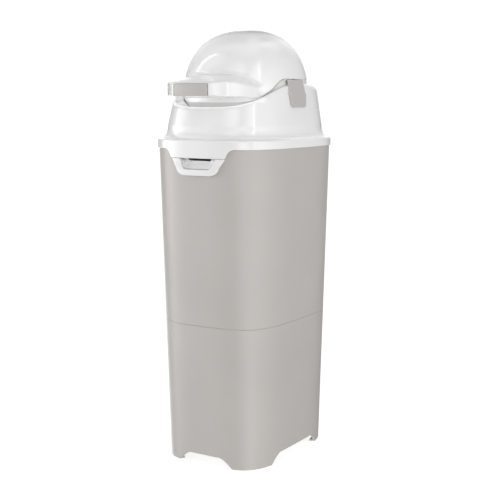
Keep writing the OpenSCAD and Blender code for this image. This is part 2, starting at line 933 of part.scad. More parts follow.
module pivot_pin(side) {
    head_x = hood_a(axis_z) - head_space + move_gap;
    color(steel_colour)
    scale([side, 1, 1])
        translate([pin_in, 0, axis_z])
            rotate([0, 90, 0])
                rotate_extrude()
                    polygon([
                        [0, 0], [pivot_r - 1, 0], [pivot_r, 1], [pivot_r, head_x - pin_in],
                        [pivot_r + 3.5, head_x - pin_in], [pivot_r + 3.5, head_x - pin_in + 1.6],
                        [pivot_r + 2.5, head_x - pin_in + 2.4], [0, head_x - pin_in + 2.4]
                    ]);
}

module pivot_pin_left() pivot_pin(-1);

module pivot_pin_right() pivot_pin(1);

// ---- Drum ----

edge_front = -15;   // the dome's lower edge in front, from the axis
edge_side = 23;     // the dome's lower edge over the pivots and behind
edge_from = -95;    // where that edge starts to rise
edge_run = 75;      // the length over which it rises

function dome_edge(y) = mix(edge_front, edge_side, smooth(clamp01((y - edge_from) / edge_run)));

// All that lies below the dome's edge, raised by lift
module below_dome_edge(lift) {
    across(-reach, reach)
        translate([0, axis_z])
            polygon(concat(
                [[-drum_r - 80, -drum_r - 80], [-drum_r - 80, edge_front + lift]],
                [for (i = [0:12]) let (y = edge_from + edge_run * i / 12) [y, dome_edge(y) + lift]],
                [[drum_r + 80, edge_side + lift], [drum_r + 80, -drum_r - 80]]
            ));
}

visor_root = -84;   // the visor's widest line, behind its front
visor_power = 2.53;

// One outline of the visor: a superellipse in front, straight sides back into the dome. It lies
// at height z over the root and rises to the front.
function visor_ring(half_w, front, z) =
    let (steps = 28)
    concat(
        [[half_w, -60, z]],
        [for (i = [0:steps])
            let (t = -180 * i / steps)
            let (y = visor_root - (front + visor_root) * pow(abs(sin(t)), 2 / visor_power))
            let (lift = visor_lift * (visor_root - y) / (visor_reach + visor_root))
            [half_w * signed_pow(cos(t), 2 / visor_power), y, z + lift]],
        [[-half_w, -60, z]]
    );

function reversed(list) = [for (i = [len(list) - 1:-1:0]) list[i]];

// The visor as a solid: a band in front, with a top that rises to the dome
module visor_form(grow = 0) {
    low = axis_z + visor_low;
    high = low + visor_h;
    w = visor_w + grow;
    front = visor_reach + grow;
    loft([for (r = [
        visor_ring(w - 1.2, front - 1.2, low - grow),
        visor_ring(w, front, low + 1.5 - grow),
        visor_ring(w, front, high - 2 + grow),
        visor_ring(w - 0.7, front - 0.7, high - 0.7 + grow),
        visor_ring(w - 2.4, front - 2.4, high + grow),
        visor_ring(w - 9, front - 28, high + visor_rise * 0.4 + grow),
        visor_ring(w - 20, front - 55, high + visor_rise * 0.8 + grow),
        visor_ring(w - 36, -visor_root + 8, high + visor_rise + 2 + grow)
    ]) reversed(r)]);
}

// The hollow inside the visor, open below for its cover plate
module visor_hollow() {
    low = axis_z + visor_low;
    loft([for (z = [low - 1, low + visor_h - 4]) reversed(visor_ring(visor_w - 4, visor_reach - 5, z))]);
}

// A band round the visor's front, from below its underside to above its top edge
module plate_band(inset_out, inset_in, half_w, below = 0) {
    low = axis_z + visor_low - below;
    high = axis_z + visor_low + visor_h + 0.6;
    intersection() {
        difference() {
            loft([for (z = [low, high])
                reversed(visor_ring(visor_w - inset_out, visor_reach - inset_out, z))]);
            loft([for (z = [low - 1, high + 1.4])
                reversed(visor_ring(visor_w - inset_in, visor_reach - inset_in, z))]);
        }
        translate([-half_w, -reach, low - 1])
            cube([2 * half_w, reach - 100, high - low + visor_lift + 4]);
    }
}

module drum_dome() {
    color(gloss_colour)
    difference() {
        union() {
            difference() {
                drum_form();
                below_dome_edge(0);
            }
            visor_form();
        }
        drum_form(dome_t);
        difference() {
            visor_hollow();
            drum_form();
        }
        plate_band(-plate_proud - 1, plate_t - plate_proud + 0.1, plate_w / 2 + 0.1, 1);
    }
}

module visor_plate() {
    low = axis_z + visor_low;
    color(gloss_colour)
    difference() {
        loft([for (z = [low, low + 2.4]) reversed(visor_ring(visor_w - 4.2, visor_reach - 5.2, z))]);
        drum_form(-0.2);
    }
}

module handle_plate() {
    color(shell_colour)
    plate_band(-plate_proud, plate_t - plate_proud, plate_w / 2);
}

post_r = 4.5;
post_at = (chamber_r + chamber_t + post_r + 1.9) / sqrt(2);

module post_places() {
    for (x = [-post_at, post_at], y = [-post_at, post_at])
        translate([x, y, axis_z - mouth_depth])
            children();
}

flange_t = 2.4;

// The pocket's cup and the boss for one pivot pin
module pivot_cup() {
    floor_x = drum_half - pocket_depth;
    translate([0, 0, axis_z])
        rotate([0, 90, 0]) {
            translate([0, 0, floor_x - 3])
                cylinder(h = pocket_depth + 3, r = pocket_r + 2.5);
            translate([0, 0, pin_in - 1])
                cylinder(h = floor_x - pin_in, r = pivot_r + 4);
        }
}

// What the pocket and the pin take out of the drum, leaving its stop
module pivot_pocket() {
    floor_x = drum_half - pocket_depth;
    slack = 1.5;
    travel_end = lug_angle + lug_half + slack + flip_turn;
    difference() {
        translate([floor_x, 0, axis_z])
            rotate([0, 90, 0])
                cylinder(h = 20, r = pocket_r);
        stop_block(
            floor_x - 1, floor_x + 5, boss_r + 1, pocket_r + 1,
            travel_end, 360 + lug_angle - lug_half - slack
        );
    }
    translate([pin_in - 2, 0, axis_z])
        rotate([0, 90, 0])
            cylinder(h = 60, r = pivot_r + 0.02);
}

module drum_body() {
    color(inner_colour)
    difference() {
        intersection() {
            union() {
                intersection() {
                    drum_form(dome_step);
                    below_dome_edge(-0.3);
                }
                intersection() {
                    drum_form(dome_t + 0.3);
                    below_dome_edge(8);
                }
            }
            union() {
                difference() {
                    drum_form();
                    drum_form(drum_wall);
                }
                for (side = [0, 1])
                    mirror([side, 0, 0])
                        pivot_cup();
                post_places()
                    translate([0, 0, flange_t + 0.1])
                        cylinder(h = 22, r = post_r, $fn = 32);
                for (x = [-1, 1], y = [-1, 1])
                    translate([x * post_at, y * post_at, axis_z - mouth_depth + flange_t + 0.1])
                        rotate([0, 0, atan2(y, x)])
                            translate([0, -1.2, 0])
                                cube([40, 2.4, 22]);
            }
        }
        translate([-reach, -reach, axis_z - mouth_depth - reach])
            cube([2 * reach, 2 * reach, reach]);
        for (side = [0, 1])
            mirror([side, 0, 0])
                pivot_pocket();
        post_places()
            cylinder(h = 14, r = screw_r + 0.05, $fn = 24);
    }
}

module drum_liner() {
    color(inner_colour)
    difference() {
        union() {
            intersection() {
                drum_form(drum_wall + 0.2);
                translate([0, 0, axis_z - mouth_depth])
                    cylinder(h = flange_t, r = reach);
            }
            translate([0, 0, axis_z - mouth_depth])
                cylinder(h = mouth_depth + chamber_top, r = chamber_r + chamber_t, $fn = 96);
        }
        translate([0, 0, axis_z - mouth_depth + flange_t])
            cylinder(h = reach, r = chamber_r, $fn = 96);
        translate([0, 0, axis_z - mouth_depth - 1])
            cylinder(h = reach, r = chamber_r - 4, $fn = 96);
        post_places()
            translate([0, 0, -1])
                cylinder(h = 10, r = screw_r + 0.2, $fn = 24);
    }
}

module chamber_cap() {
    color(inner_colour)
    translate([0, 0, axis_z + chamber_top - 8])
        difference() {
            cylinder(h = 10.2, r = chamber_r + chamber_t + 2.2, $fn = 96);
            translate([0, 0, -1])
                cylinder(h = 9.2, r = chamber_r + chamber_t + fit_gap, $fn = 96);
        }
}

module drum_screws() {
    color(steel_colour)
    post_places()
        translate([0, 0, -1.6 - 0.05])
            pan_screw(screw_r, drum_screw_l, 3, 1.6);
}

piston_rest = axis_z - mouth_depth + flange_t + move_gap;

module piston() {
    r = chamber_r - piston_gap;
    t = 2.2;
    color(inner_colour)
    translate([0, 0, piston_rest])
        rotate_extrude($fn = 96)
            polygon([
                [0, 3], [r - 22, 1.6], [r - 8, 0], [r - 1, 0], [r, 1],
                [r, piston_h], [r - t, piston_h], [r - t, 2 * t],
                [r - 8, t + 0.6], [r - 22, t + 2], [0, t + 3.2]
            ]);
}

base_section();
body_shell();
latch_frame();
latch_housing();
latch_spring();
latch_screws();
hinge_bracket();
hinge_screws();
hinge_pin();
latch_button();
top_cover();
lid_gasket();
seal_frame();
drum_seal();
frame_screws();
pivot_bush_left();
pivot_bush_right();
pivot_strap_left();
pivot_strap_right();
drum_dome();
visor_plate();
handle_plate();
drum_body();
drum_liner();
chamber_cap();
drum_screws();
pivot_pin_left();
pivot_pin_right();
piston();
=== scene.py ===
"""Flip-over nappy bin: smooth moulded pieces, finishes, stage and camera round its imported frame.

Everything is in metres, with the origin on the floor under the middle of the bin and the front
towards -Y. Each operator makes one piece or one group of like pieces, in its place.
"""

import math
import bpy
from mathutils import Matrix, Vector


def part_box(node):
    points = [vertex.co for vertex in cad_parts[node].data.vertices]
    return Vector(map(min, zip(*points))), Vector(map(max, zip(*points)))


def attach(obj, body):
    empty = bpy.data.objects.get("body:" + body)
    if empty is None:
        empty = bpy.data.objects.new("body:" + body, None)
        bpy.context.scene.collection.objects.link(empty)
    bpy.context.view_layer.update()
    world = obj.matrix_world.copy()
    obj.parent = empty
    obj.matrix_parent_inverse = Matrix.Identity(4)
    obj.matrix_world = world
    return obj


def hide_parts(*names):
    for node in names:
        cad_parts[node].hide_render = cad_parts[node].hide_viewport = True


bl_info = {
    "name": "Flip-over nappy bin",
    "version": (1, 0, 0),
    "blender": (4, 5, 0),
    "location": "View3D > Sidebar > Nappy Bin",
    "description": "Builds the shells, cover, drum and latch of a flip-over nappy bin",
    "category": "Object",
}

import bmesh
import bpy
import numpy as np
from bpy.props import FloatProperty, FloatVectorProperty, PointerProperty
from mathutils import Vector

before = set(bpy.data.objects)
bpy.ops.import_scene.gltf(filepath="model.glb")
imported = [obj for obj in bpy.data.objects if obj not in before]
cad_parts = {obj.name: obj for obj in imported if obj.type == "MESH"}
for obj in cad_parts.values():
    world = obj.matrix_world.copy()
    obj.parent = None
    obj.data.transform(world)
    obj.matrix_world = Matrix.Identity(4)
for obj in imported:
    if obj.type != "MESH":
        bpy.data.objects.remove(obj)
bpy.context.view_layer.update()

TAU = 2 * math.pi


# ---- Sizes and colours ----


def length(name, description, default):
    return FloatProperty(name=name, description=description, default=default, min=0.0, unit="LENGTH")


def power(name, description, default):
    return FloatProperty(name=name, description=description, default=default, min=2.0, max=8.0)


def tint(name, description, default):
    return FloatVectorProperty(
        name=name, description=description, default=default, subtype="COLOR", size=3, min=0.0, max=1.0
    )


class BinSizes(bpy.types.PropertyGroup):
    """Sizes of the moulded pieces, in metres"""

    base_w: length("Base width", "Width of the body at the floor", 0.200)
    base_d: length("Base depth", "Depth of the body at the floor", 0.267)
    rim_w: length("Rim width", "Width of the body at the rim", 0.224)
    rim_d: length("Rim depth", "Depth of the body at the rim", 0.297)
    rim_z: length("Rim height", "Height of the body's rim", 0.536)
    plan_power: power("Plan squareness", "Squareness of the body's plan", 3.8)
    wall: length("Wall", "Wall of both body sections", 0.003)
    seam_z: length("Seam height", "Height of the seam between the sections", 0.237)
    seam_gap: length("Seam gap", "Open line between the sections", 0.0002)
    edge_round: length("Edge rounding", "Rounding of the sections' edges", 0.0004)
    arch_h: length("Arch height", "Height of the arches between the feet", 0.017)
    front_arch: length("Front arch", "Half width of the arches in front and behind", 0.0525)
    side_arch: length("Side arch", "Half width of the arches at the sides", 0.0755)
    arch_run: length("Arch shoulder", "Length of each arch's sloping shoulder", 0.0245)
    collar_gap: length("Collar gap", "Space between the body and the collar", 0.0007)
    collar_t: length("Collar thickness", "Thickness of the collar's band", 0.0017)
    collar_drop: length("Collar drop", "How far the collar reaches below the rim", 0.010)
    cover_wall: length("Cover wall", "Wall of the cover", 0.003)
    hood_in_x: length("Hood side inset", "How far the hood's sides stand in from the rim", 0.0075)
    hood_in_y: length("Hood end inset", "How far the hood's ends stand in from the rim", 0.012)
    hood_power: power("Hood squareness", "Squareness of the hood's plan", 3.4)
    hood_draft_x: length("Hood side draft", "How much the hood narrows on each side", 0.0105)
    hood_draft_y: length("Hood end draft", "How much the hood shortens at each end", 0.0135)
    fillet_h: length("Fillet height", "Height of the fillet between collar and hood", 0.020)
    mouth_front: length("Mouth front", "Height of the mouth's edge above the rim in front", 0.0565)
    mouth_back: length("Mouth back", "Height of the mouth's edge above the rim behind", 0.095)
    mouth_round: length("Mouth rounding", "Rounding of the mouth's outer edge", 0.005)
    mouth_round_back: length("Mouth rounding behind", "Rounding of that edge behind", 0.012)
    hood_lean: length("Hood lean", "How far the hood's mouth stands back from its foot", 0.0045)
    tab_w: length("Tab width", "Half width of the front tab at its lower edge", 0.0505)
    tab_drop: length("Tab drop", "How far the tab hangs below the collar", 0.0145)
    tab_round: length("Tab shoulder", "Radius of the tab's shoulders", 0.014)
    axis_z: length("Drum axis", "Height of the drum's axis", 0.615)
    drum_r: length("Drum radius", "Radius of the drum at its middle", 0.105)
    drum_half: length("Drum half length", "Half length of the drum along its axis", 0.0901)
    drum_power: power("Drum fullness", "Fullness of the drum's rounded ends", 2.95)
    dome_along: power("Dome crown", "Fullness of the dome's outside along the axis", 2.48)
    dome_about: power("Dome ends", "Fullness of the dome's outside at its ends", 3.48)
    dome_t: length("Dome thickness", "Thickness of the dome", 0.0025)
    visor_w: length("Visor half width", "Half width of the visor at the dome", 0.0741)
    visor_reach: length("Visor reach", "How far the visor reaches in front of the axis", 0.1715)
    visor_root: length("Visor root", "Where the visor's straight sides end, in front of the axis", 0.084)
    visor_power: power("Visor squareness", "Squareness of the visor's plan", 2.53)
    visor_h: length("Visor band", "Height of the visor's front band", 0.019)
    visor_low: length("Visor underside", "Depth of the visor's underside at the dome", 0.0085)
    visor_lift: length("Visor lift", "How much higher the visor's front lies", 0.0035)
    visor_rise: length("Visor rise", "Rise of the visor's top towards the dome", 0.0225)
    visor_fillet: length("Visor fillet", "Radius of the soft crease between visor and dome", 0.0055)
    plate_w: length("Handle plate width", "Width of the plate in the handle", 0.0636)
    plate_proud: length("Handle plate stand", "How far the plate stands out", 0.0008)
    strap_w: length("Strap width", "Width of the pivot strap at its bend", 0.053)
    latch_h: length("Latch height", "Height of the latch's face below the tab", 0.027)
    scoop_w: length("Scoop width", "Half width of the finger scoop", 0.034)
    scoop_h: length("Scoop height", "Height of the finger scoop", 0.017)
    scoop_depth: length("Scoop depth", "Depth of the finger scoop", 0.0065)
    latch_lip: length("Latch lip", "How far the latch's lower edge stands out beyond its top", 0.0042)
    slot_w: length("Slot width", "Half width of the dark slot over the latch button", 0.0214)


class BinColours(bpy.types.PropertyGroup):
    """Colours of the moulded pieces"""

    shell: tint("Shell grey", "Warm grey of the body, straps and handle plate", (0.520, 0.492, 0.470))
    trim: tint("Trim grey", "Warm grey of the straps and the handle plate", (0.522, 0.503, 0.482))
    gloss: tint("Gloss white", "White of the cover, dome and latch", (0.872, 0.872, 0.87))
    inner: tint("Inner white", "White of the drum and the inner pieces", (0.72, 0.72, 0.715))
    rubber: tint("Seal grey", "Grey of the seals", (0.30, 0.295, 0.285))
    steel: tint("Steel", "Colour of pins, screws and spring", (0.62, 0.63, 0.64))
    floor: tint("Floor", "Pale floor and backdrop", (0.42, 0.42, 0.42))


def sizes():
    return bpy.context.scene.bin_sizes


def colours():
    return bpy.context.scene.bin_colours


# ---- Outlines and forms ----


def mix(a, b, t):
    return a + (b - a) * t


def smooth(t):
    t = np.clip(t, 0.0, 1.0)
    return t * t * (3 - 2 * t)


def unit_outline(angles, squareness):
    """Points of a superellipse of half width and half depth 1."""
    c, s = np.cos(angles), np.sin(angles)
    p = 2 / squareness
    return np.stack((np.sign(c) * np.abs(c) ** p, np.sign(s) * np.abs(s) ** p), axis=1)


def spread(points, count, turn_weight=0.0, density=None):
    """Places along a fine polyline, from 0 to its last index, evenly by length and by turning."""
    steps = np.diff(points, axis=0)
    runs = np.linalg.norm(steps, axis=1)
    if density is not None:
        runs = runs * density
    turns = np.zeros(len(runs))
    headings = steps / np.maximum(np.linalg.norm(steps, axis=1), 1e-12)[:, None]
    bends = np.arccos(np.clip(np.sum(headings[1:] * headings[:-1], axis=1), -1, 1))
    turns[1:] += bends / 2
    turns[:-1] += bends / 2
    measure = np.concatenate(([0.0], np.cumsum(runs + turn_weight * turns)))
    return np.interp(np.linspace(0, measure[-1], count), measure, np.arange(len(points)))


def plan_angles(count, half_w, half_d, squareness, density=None):
    """Angles that place points evenly round a superellipse, denser where density says so."""
    quarter = np.linspace(0, 1, 4001) ** 2.6 * math.pi / 4
    quarter = np.concatenate((quarter, (math.pi / 2 - quarter)[::-1][1:]))
    fine = np.concatenate([quarter[:-1] + k * math.pi / 2 for k in range(4)] + [[TAU]])
    points = unit_outline(fine, squareness) * (half_w, half_d)
    weight = None if density is None else density((points[1:] + points[:-1]) / 2)
    places = spread(points, count + 1, 0.0, weight)[:-1]
    return np.interp(places, np.arange(len(fine)), fine)


def body_half(z):
    """Half width and half depth of the body's outside at height z."""
    s = sizes()
    return mix(s.base_w, s.rim_w, z / s.rim_z) / 2, mix(s.base_d, s.rim_d, z / s.rim_z) / 2


def body_ring(unit, z, grow=0.0):
    z = np.broadcast_to(np.asarray(z, float), len(unit))
    a, b = body_half(z)
    return np.stack((unit[:, 0] * (a + grow), unit[:, 1] * (b + grow), z), axis=1)


def body_face(x, z, grow=0.0):
    """Distance of the body's front or back surface from its middle, at x and z."""
    a, b = body_half(z)
    p = sizes().plan_power
    ratio = np.clip(np.abs(x) / (a + grow), 0, 0.999)
    return (b + grow) * (1 - ratio**p) ** (1 / p)


def corner(radius, steps, start=0.0, turn=90.0):
    """Offsets of a rounded corner: how far in from the side, and how far below the end."""
    angles = np.radians(np.linspace(start, start + turn, steps))
    return [(radius * (1 - math.cos(t)), radius * (1 - math.sin(t))) for t in angles]


# ---- Modelling steps ----


def clear_selection():
    if bpy.context.object and bpy.context.object.mode != "OBJECT":
        bpy.ops.object.mode_set(mode="OBJECT")
    bpy.ops.object.select_all(action="DESELECT")


def pick(piece):
    clear_selection()
    piece.select_set(True)
    bpy.context.view_layer.objects.active = piece


def place_ring(piece, points):
    """Moves the selected vertices to the points of the same number."""
    mesh = bmesh.from_edit_mesh(piece.data)
    number = mesh.verts.layers.int.get("number")
    if number is None:
        number = mesh.verts.layers.int.new("number")
        for k, vertex in enumerate(mesh.verts):
            vertex[number] = k
    for vertex in mesh.verts:
        if vertex.select:
            vertex.co = points[vertex[number]]
    bmesh.update_edit_mesh(piece.data)


def ring_piece(name, rings, ends="joined", merge=0.00002):
    """Draws a ring and extrudes it from one outline to the next. Joined ends make a closed skin."""
    clear_selection()
    bpy.ops.mesh.primitive_circle_add(vertices=len(rings[0]), radius=0.1)
    piece = bpy.context.object
    piece.name = piece.data.name = name
    bpy.ops.object.mode_set(mode="EDIT")
    bpy.ops.mesh.select_all(action="SELECT")
    if ends == "capped":
        bpy.ops.mesh.edge_face_add()
    place_ring(piece, rings[0])
    for ring in rings[1:]:
        bpy.ops.mesh.extrude_region_move()
        place_ring(piece, ring)
    if ends == "joined":
        bpy.ops.mesh.extrude_region_move()
        place_ring(piece, rings[0])
    finish_mesh(piece, merge)
    return piece


def finish_mesh(piece, merge=0.00002):
    """Merges doubles, turns the faces outwards and leaves edit mode, smooth shaded."""
    mesh = bmesh.from_edit_mesh(piece.data)
    number = mesh.verts.layers.int.get("number")
    if number is not None:
        mesh.verts.layers.int.remove(number)
    bmesh.update_edit_mesh(piece.data)
    bpy.ops.mesh.select_all(action="SELECT")
    bpy.ops.mesh.remove_doubles(threshold=merge)
    bpy.ops.mesh.normals_make_consistent(inside=False)
    bpy.ops.mesh.select_all(action="DESELECT")
    bpy.ops.object.mode_set(mode="OBJECT")
    bpy.ops.object.shade_smooth()


def box_piece(name, low, high, bevel=0.0, segments=3):
    """A block between two corners, with rounded edges."""
    clear_selection()
    low, high = Vector(low), Vector(high)
    bpy.ops.mesh.primitive_cube_add(size=1.0, location=(low + high) / 2, scale=high - low)
    piece = bpy.context.object
    piece.name = piece.data.name = name
    bpy.ops.object.transform_apply(location=True, rotation=True, scale=True)
    if bevel:
        bpy.ops.object.mode_set(mode="EDIT")
        bpy.ops.mesh.select_all(action="SELECT")
        bpy.ops.mesh.bevel(offset=bevel, segments=segments, affect="EDGES")
        bpy.ops.object.mode_set(mode="OBJECT")
    bpy.ops.object.shade_smooth_by_angle(angle=math.radians(35))
    return piece


def rod_piece(name, x0, x1, y, z, radius, bevel=0.0, sides=64):
    """A round rod along X, with rounded ends."""
    clear_selection()
    bpy.ops.mesh.primitive_cylinder_add(
        vertices=sides,
        radius=radius,
        depth=abs(x1 - x0),
        location=((x0 + x1) / 2, y, z),
        rotation=(0, math.pi / 2, 0),
    )
    piece = bpy.context.object
    piece.name = piece.data.name = name
    bpy.ops.object.transform_apply(location=True, rotation=True, scale=True)
    if bevel:
        bpy.ops.object.mode_set(mode="EDIT")
        select_edges(piece, lambda a, b: abs(a.x - b.x) < 1e-6)
        bpy.ops.mesh.bevel(offset=bevel, segments=3, affect="EDGES")
        bpy.ops.object.mode_set(mode="OBJECT")
    bpy.ops.object.shade_smooth_by_angle(angle=math.radians(35))
    return piece


def select_edges(piece, test):
    """Selects the edges whose two ends pass the test, in edit mode."""
    bpy.ops.mesh.select_all(action="DESELECT")
    bpy.ops.mesh.select_mode(type="EDGE")
    mesh = bmesh.from_edit_mesh(piece.data)
    for edge in mesh.edges:
        edge.select = test(edge.verts[0].co, edge.verts[1].co)
    mesh.select_flush(True)
    bmesh.update_edit_mesh(piece.data)


def join(pieces, name):
    """Joins pieces into one object with this name."""
    clear_selection()
    for piece in pieces:
        piece.select_set(True)
    bpy.context.view_layer.objects.active = pieces[0]
    bpy.ops.object.join()
    whole = bpy.context.object
    whole.name = whole.data.name = name
    return whole


def cut_away(piece, cutter):
    """Cuts one piece's form out of another."""
    pick(piece)
    cut = piece.modifiers.new("cut", "BOOLEAN")
    cut.operation = "DIFFERENCE"
    cut.solver = "EXACT"
    cut.object = cutter
    bpy.ops.object.modifier_apply(modifier=cut.name)
    bpy.data.objects.remove(cutter)
    bpy.ops.object.shade_smooth_by_angle(angle=math.radians(35))


def mirrored(piece, name):
    """The same piece on the other side, with its own mesh."""
    pick(piece)
    bpy.ops.object.duplicate()
    twin = bpy.context.object
    twin.name = twin.data.name = name
    bpy.ops.object.mode_set(mode="EDIT")
    bpy.ops.mesh.select_all(action="SELECT")
    bpy.ops.transform.resize(value=(-1, 1, 1), center_override=(0, 0, 0))
    bpy.ops.mesh.normals_make_consistent(inside=False)
    bpy.ops.object.mode_set(mode="OBJECT")
    return twin


def settle(piece, body, slot, material, *replaced):
    """Gives a finished piece its material, its body and the nodes it stands for; the slot argument is not
    used.
    """
    piece.data.materials.clear()
    piece.data.materials.append(material)
    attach(piece, body)
    if replaced:
        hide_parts(*replaced)
    return piece


# ---- Finishes ----


def noise(tree, source, scale, detail=2.0, roughness=0.5):
    node = tree.nodes.new("ShaderNodeTexNoise")
    node.inputs["Scale"].default_value = scale
    node.inputs["Detail"].default_value = detail
    node.inputs["Roughness"].default_value = roughness
    tree.links.new(source, node.inputs["Vector"])
    return node.outputs["Fac"]


def math_node(tree, operation, *values):
    node = tree.nodes.new("ShaderNodeMath")
    node.operation = operation
    for socket, value in zip(node.inputs, values):
        if isinstance(value, bpy.types.NodeSocket):
            tree.links.new(value, socket)
        else:
            socket.default_value = value
    return node.outputs["Value"]


def to_range(tree, source, low, high, start=0.3, end=0.7):
    node = tree.nodes.new("ShaderNodeMapRange")
    for key, value in (("From Min", start), ("From Max", end), ("To Min", low), ("To Max", high)):
        node.inputs[key].default_value = value
    tree.links.new(source, node.inputs["Value"])
    return node.outputs["Result"]


def blend(tree, factor, first, second):
    node = tree.nodes.new("ShaderNodeMix")
    node.data_type = "RGBA"
    tree.links.new(factor, node.inputs["Factor"])
    for socket, value in ((node.inputs[6], first), (node.inputs[7], second)):
        if isinstance(value, bpy.types.NodeSocket):
            tree.links.new(value, socket)
        else:
            socket.default_value = (*value, 1.0)
    return node.outputs[2]


def shade(colour, factor):
    return tuple(min(1.0, c * factor) for c in colour)


def moulded(name, colour, rough, rough_swing, grain, grain_depth, wave, wave_depth, **shader):
    """Moulded plastic: cloudy colour, fine grain and the slow waviness of a moulded wall."""
    material = bpy.data.materials.new(name)
    material.use_nodes = True
    tree = material.node_tree
    surface = tree.nodes["Principled BSDF"]
    place = tree.nodes.new("ShaderNodeTexCoord").outputs["Object"]
    cloud = noise(tree, place, 9.0, 3.0)
    speck = noise(tree, place, grain, 4.0, 0.6)
    ripple = noise(tree, place, wave, 1.0)
    tone = blend(tree, to_range(tree, cloud, 0, 1), shade(colour, 0.975), shade(colour, 1.02))
    fleck = blend(tree, to_range(tree, speck, 0, 1), (0.975, 0.975, 0.975), (1.0, 1.0, 1.0))
    stain = tree.nodes.new("ShaderNodeMix")
    stain.data_type = "RGBA"
    stain.blend_type = "MULTIPLY"
    stain.inputs["Factor"].default_value = 1.0
    tree.links.new(tone, stain.inputs[6])
    tree.links.new(fleck, stain.inputs[7])
    tree.links.new(stain.outputs[2], surface.inputs["Base Color"])
    tree.links.new(
        to_range(tree, speck, rough - rough_swing, rough + rough_swing), surface.inputs["Roughness"]
    )
    fine = tree.nodes.new("ShaderNodeBump")
    fine.inputs["Strength"].default_value = 1.0
    fine.inputs["Distance"].default_value = grain_depth
    tree.links.new(speck, fine.inputs["Height"])
    slow = tree.nodes.new("ShaderNodeBump")
    slow.inputs["Strength"].default_value = 1.0
    slow.inputs["Distance"].default_value = wave_depth
    tree.links.new(ripple, slow.inputs["Height"])
    tree.links.new(fine.outputs["Normal"], slow.inputs["Normal"])
    tree.links.new(slow.outputs["Normal"], surface.inputs["Normal"])
    for key, value in shader.items():
        surface.inputs[key.replace("_", " ")].default_value = value
    return material


def axes_of(tree, vector):
    """The x, y and z of a vector."""
    split = tree.nodes.new("ShaderNodeSeparateXYZ")
    tree.links.new(vector, split.inputs["Vector"])
    return split.outputs


def painted_underglow(material):
    """Painted light: an emission glow on the dome's skirt under the visor and on the upward-facing deck
    below it, where the lamps leave shade.
    """
    tree = material.node_tree
    place = tree.nodes.new("ShaderNodeTexCoord")
    x, y, z = axes_of(tree, place.outputs["Object"])
    upward = axes_of(tree, place.outputs["Normal"])[2]
    axis = sizes().axis_z
    skirt_low = axis - 0.0155
    skirt_glow, deck_glow = 0.13, 0.29
    below_skirt = to_range(tree, z, 1, 0, skirt_low - 0.001, skirt_low + 0.001)
    on_skirt = to_range(tree, z, 0, skirt_glow, skirt_low - 0.001, skirt_low + 0.001)
    # Painted light: the deck glows more where it faces up.
    on_deck = math_node(tree, "MULTIPLY", below_skirt, to_range(tree, upward, 0, deck_glow, 0.5, 0.85))
    glow = math_node(tree, "ADD", on_deck, on_skirt)
    limits = (
        to_range(tree, z, 1, 0, axis - 0.0085, axis - 0.007),
        to_range(tree, z, 0, 1, axis - 0.035, axis - 0.025),
        to_range(tree, y, 0, 1, -0.137, -0.129),
        to_range(tree, y, 1, 0, -0.07, -0.03),
        to_range(tree, math_node(tree, "ABSOLUTE", x), 1, 0, 0.087, 0.0905),
    )
    for limit in limits:
        glow = math_node(tree, "MULTIPLY", glow, limit)
    surface = tree.nodes["Principled BSDF"]
    surface.inputs["Emission Color"].default_value = (1.0, 1.0, 1.0, 1.0)
    tree.links.new(glow, surface.inputs["Emission Strength"])
    return material


def turned_steel(name, colour):
    """Bright drawn steel with faint turning marks."""
    material = bpy.data.materials.new(name)
    material.use_nodes = True
    tree = material.node_tree
    surface = tree.nodes["Principled BSDF"]
    place = tree.nodes.new("ShaderNodeTexCoord").outputs["Object"]
    marks = noise(tree, place, 1800.0, 2.0)
    cloud = noise(tree, place, 60.0, 3.0)
    tone = blend(tree, to_range(tree, cloud, 0, 1), shade(colour, 0.85), colour)
    tree.links.new(tone, surface.inputs["Base Color"])
    tree.links.new(to_range(tree, marks, 0.22, 0.4), surface.inputs["Roughness"])
    bump = tree.nodes.new("ShaderNodeBump")
    bump.inputs["Strength"].default_value = 0.6
    bump.inputs["Distance"].default_value = 0.00003
    tree.links.new(marks, bump.inputs["Height"])
    tree.links.new(bump.outputs["Normal"], surface.inputs["Normal"])
    surface.inputs["Metallic"].default_value = 1.0
    return material


def finish(name):
    """The finish of this name, made when it is first asked for."""
    full = f"fine_{name}"
    if full in bpy.data.materials:
        return bpy.data.materials[full]
    c = colours()
    if name == "satin_shell":
        return moulded(full, c.shell, 0.36, 0.05, 1400.0, 0.00003, 28.0, 0.0002)
    if name == "satin_trim":
        return moulded(full, c.trim, 0.46, 0.05, 1800.0, 0.00003, 60.0, 0.0001)
    if name == "gloss_white":
        gloss = moulded(
            full, c.gloss, 0.18, 0.03, 900.0, 0.000008, 45.0, 0.00012, Coat_Weight=0.65, Coat_Roughness=0.06
        )
        # The gloss white finish carries the painted glow under the visor.
        return painted_underglow(gloss)
    if name == "inner_white":
        return moulded(full, c.inner, 0.36, 0.05, 1500.0, 0.00003, 40.0, 0.0002)
    # Near-black painted shade: the latch's stem, nose and ears behind the slot, so the slot reads dark.
    if name == "painted_slot_shade":
        return moulded(full, (0.02, 0.02, 0.021), 0.5, 0.05, 1500.0, 0.00003, 40.0, 0.0002)
    if name == "seal_rubber":
        return moulded(full, c.rubber, 0.62, 0.08, 2200.0, 0.00006, 90.0, 0.0001)
    return turned_steel(full, c.steel)


NODE_FINISHES = {
    "inner_white": (
        "latch_housing",
        "seal_frame",
        "pivot_bush_left",
        "pivot_bush_right",
        "drum_body",
        "drum_liner",
        "chamber_cap",
        "piston",
    ),
    "satin_shell": ("hinge_bracket",),
    "gloss_white": ("visor_plate",),
    "seal_rubber": ("lid_gasket", "drum_seal"),
    "bright_steel": (
        "latch_spring",
        "latch_screws",
        "hinge_screws",
        "hinge_pin",
        "frame_screws",
        "drum_screws",
        "pivot_pin_left",
        "pivot_pin_right",
    ),
}


# ---- Body sections ----


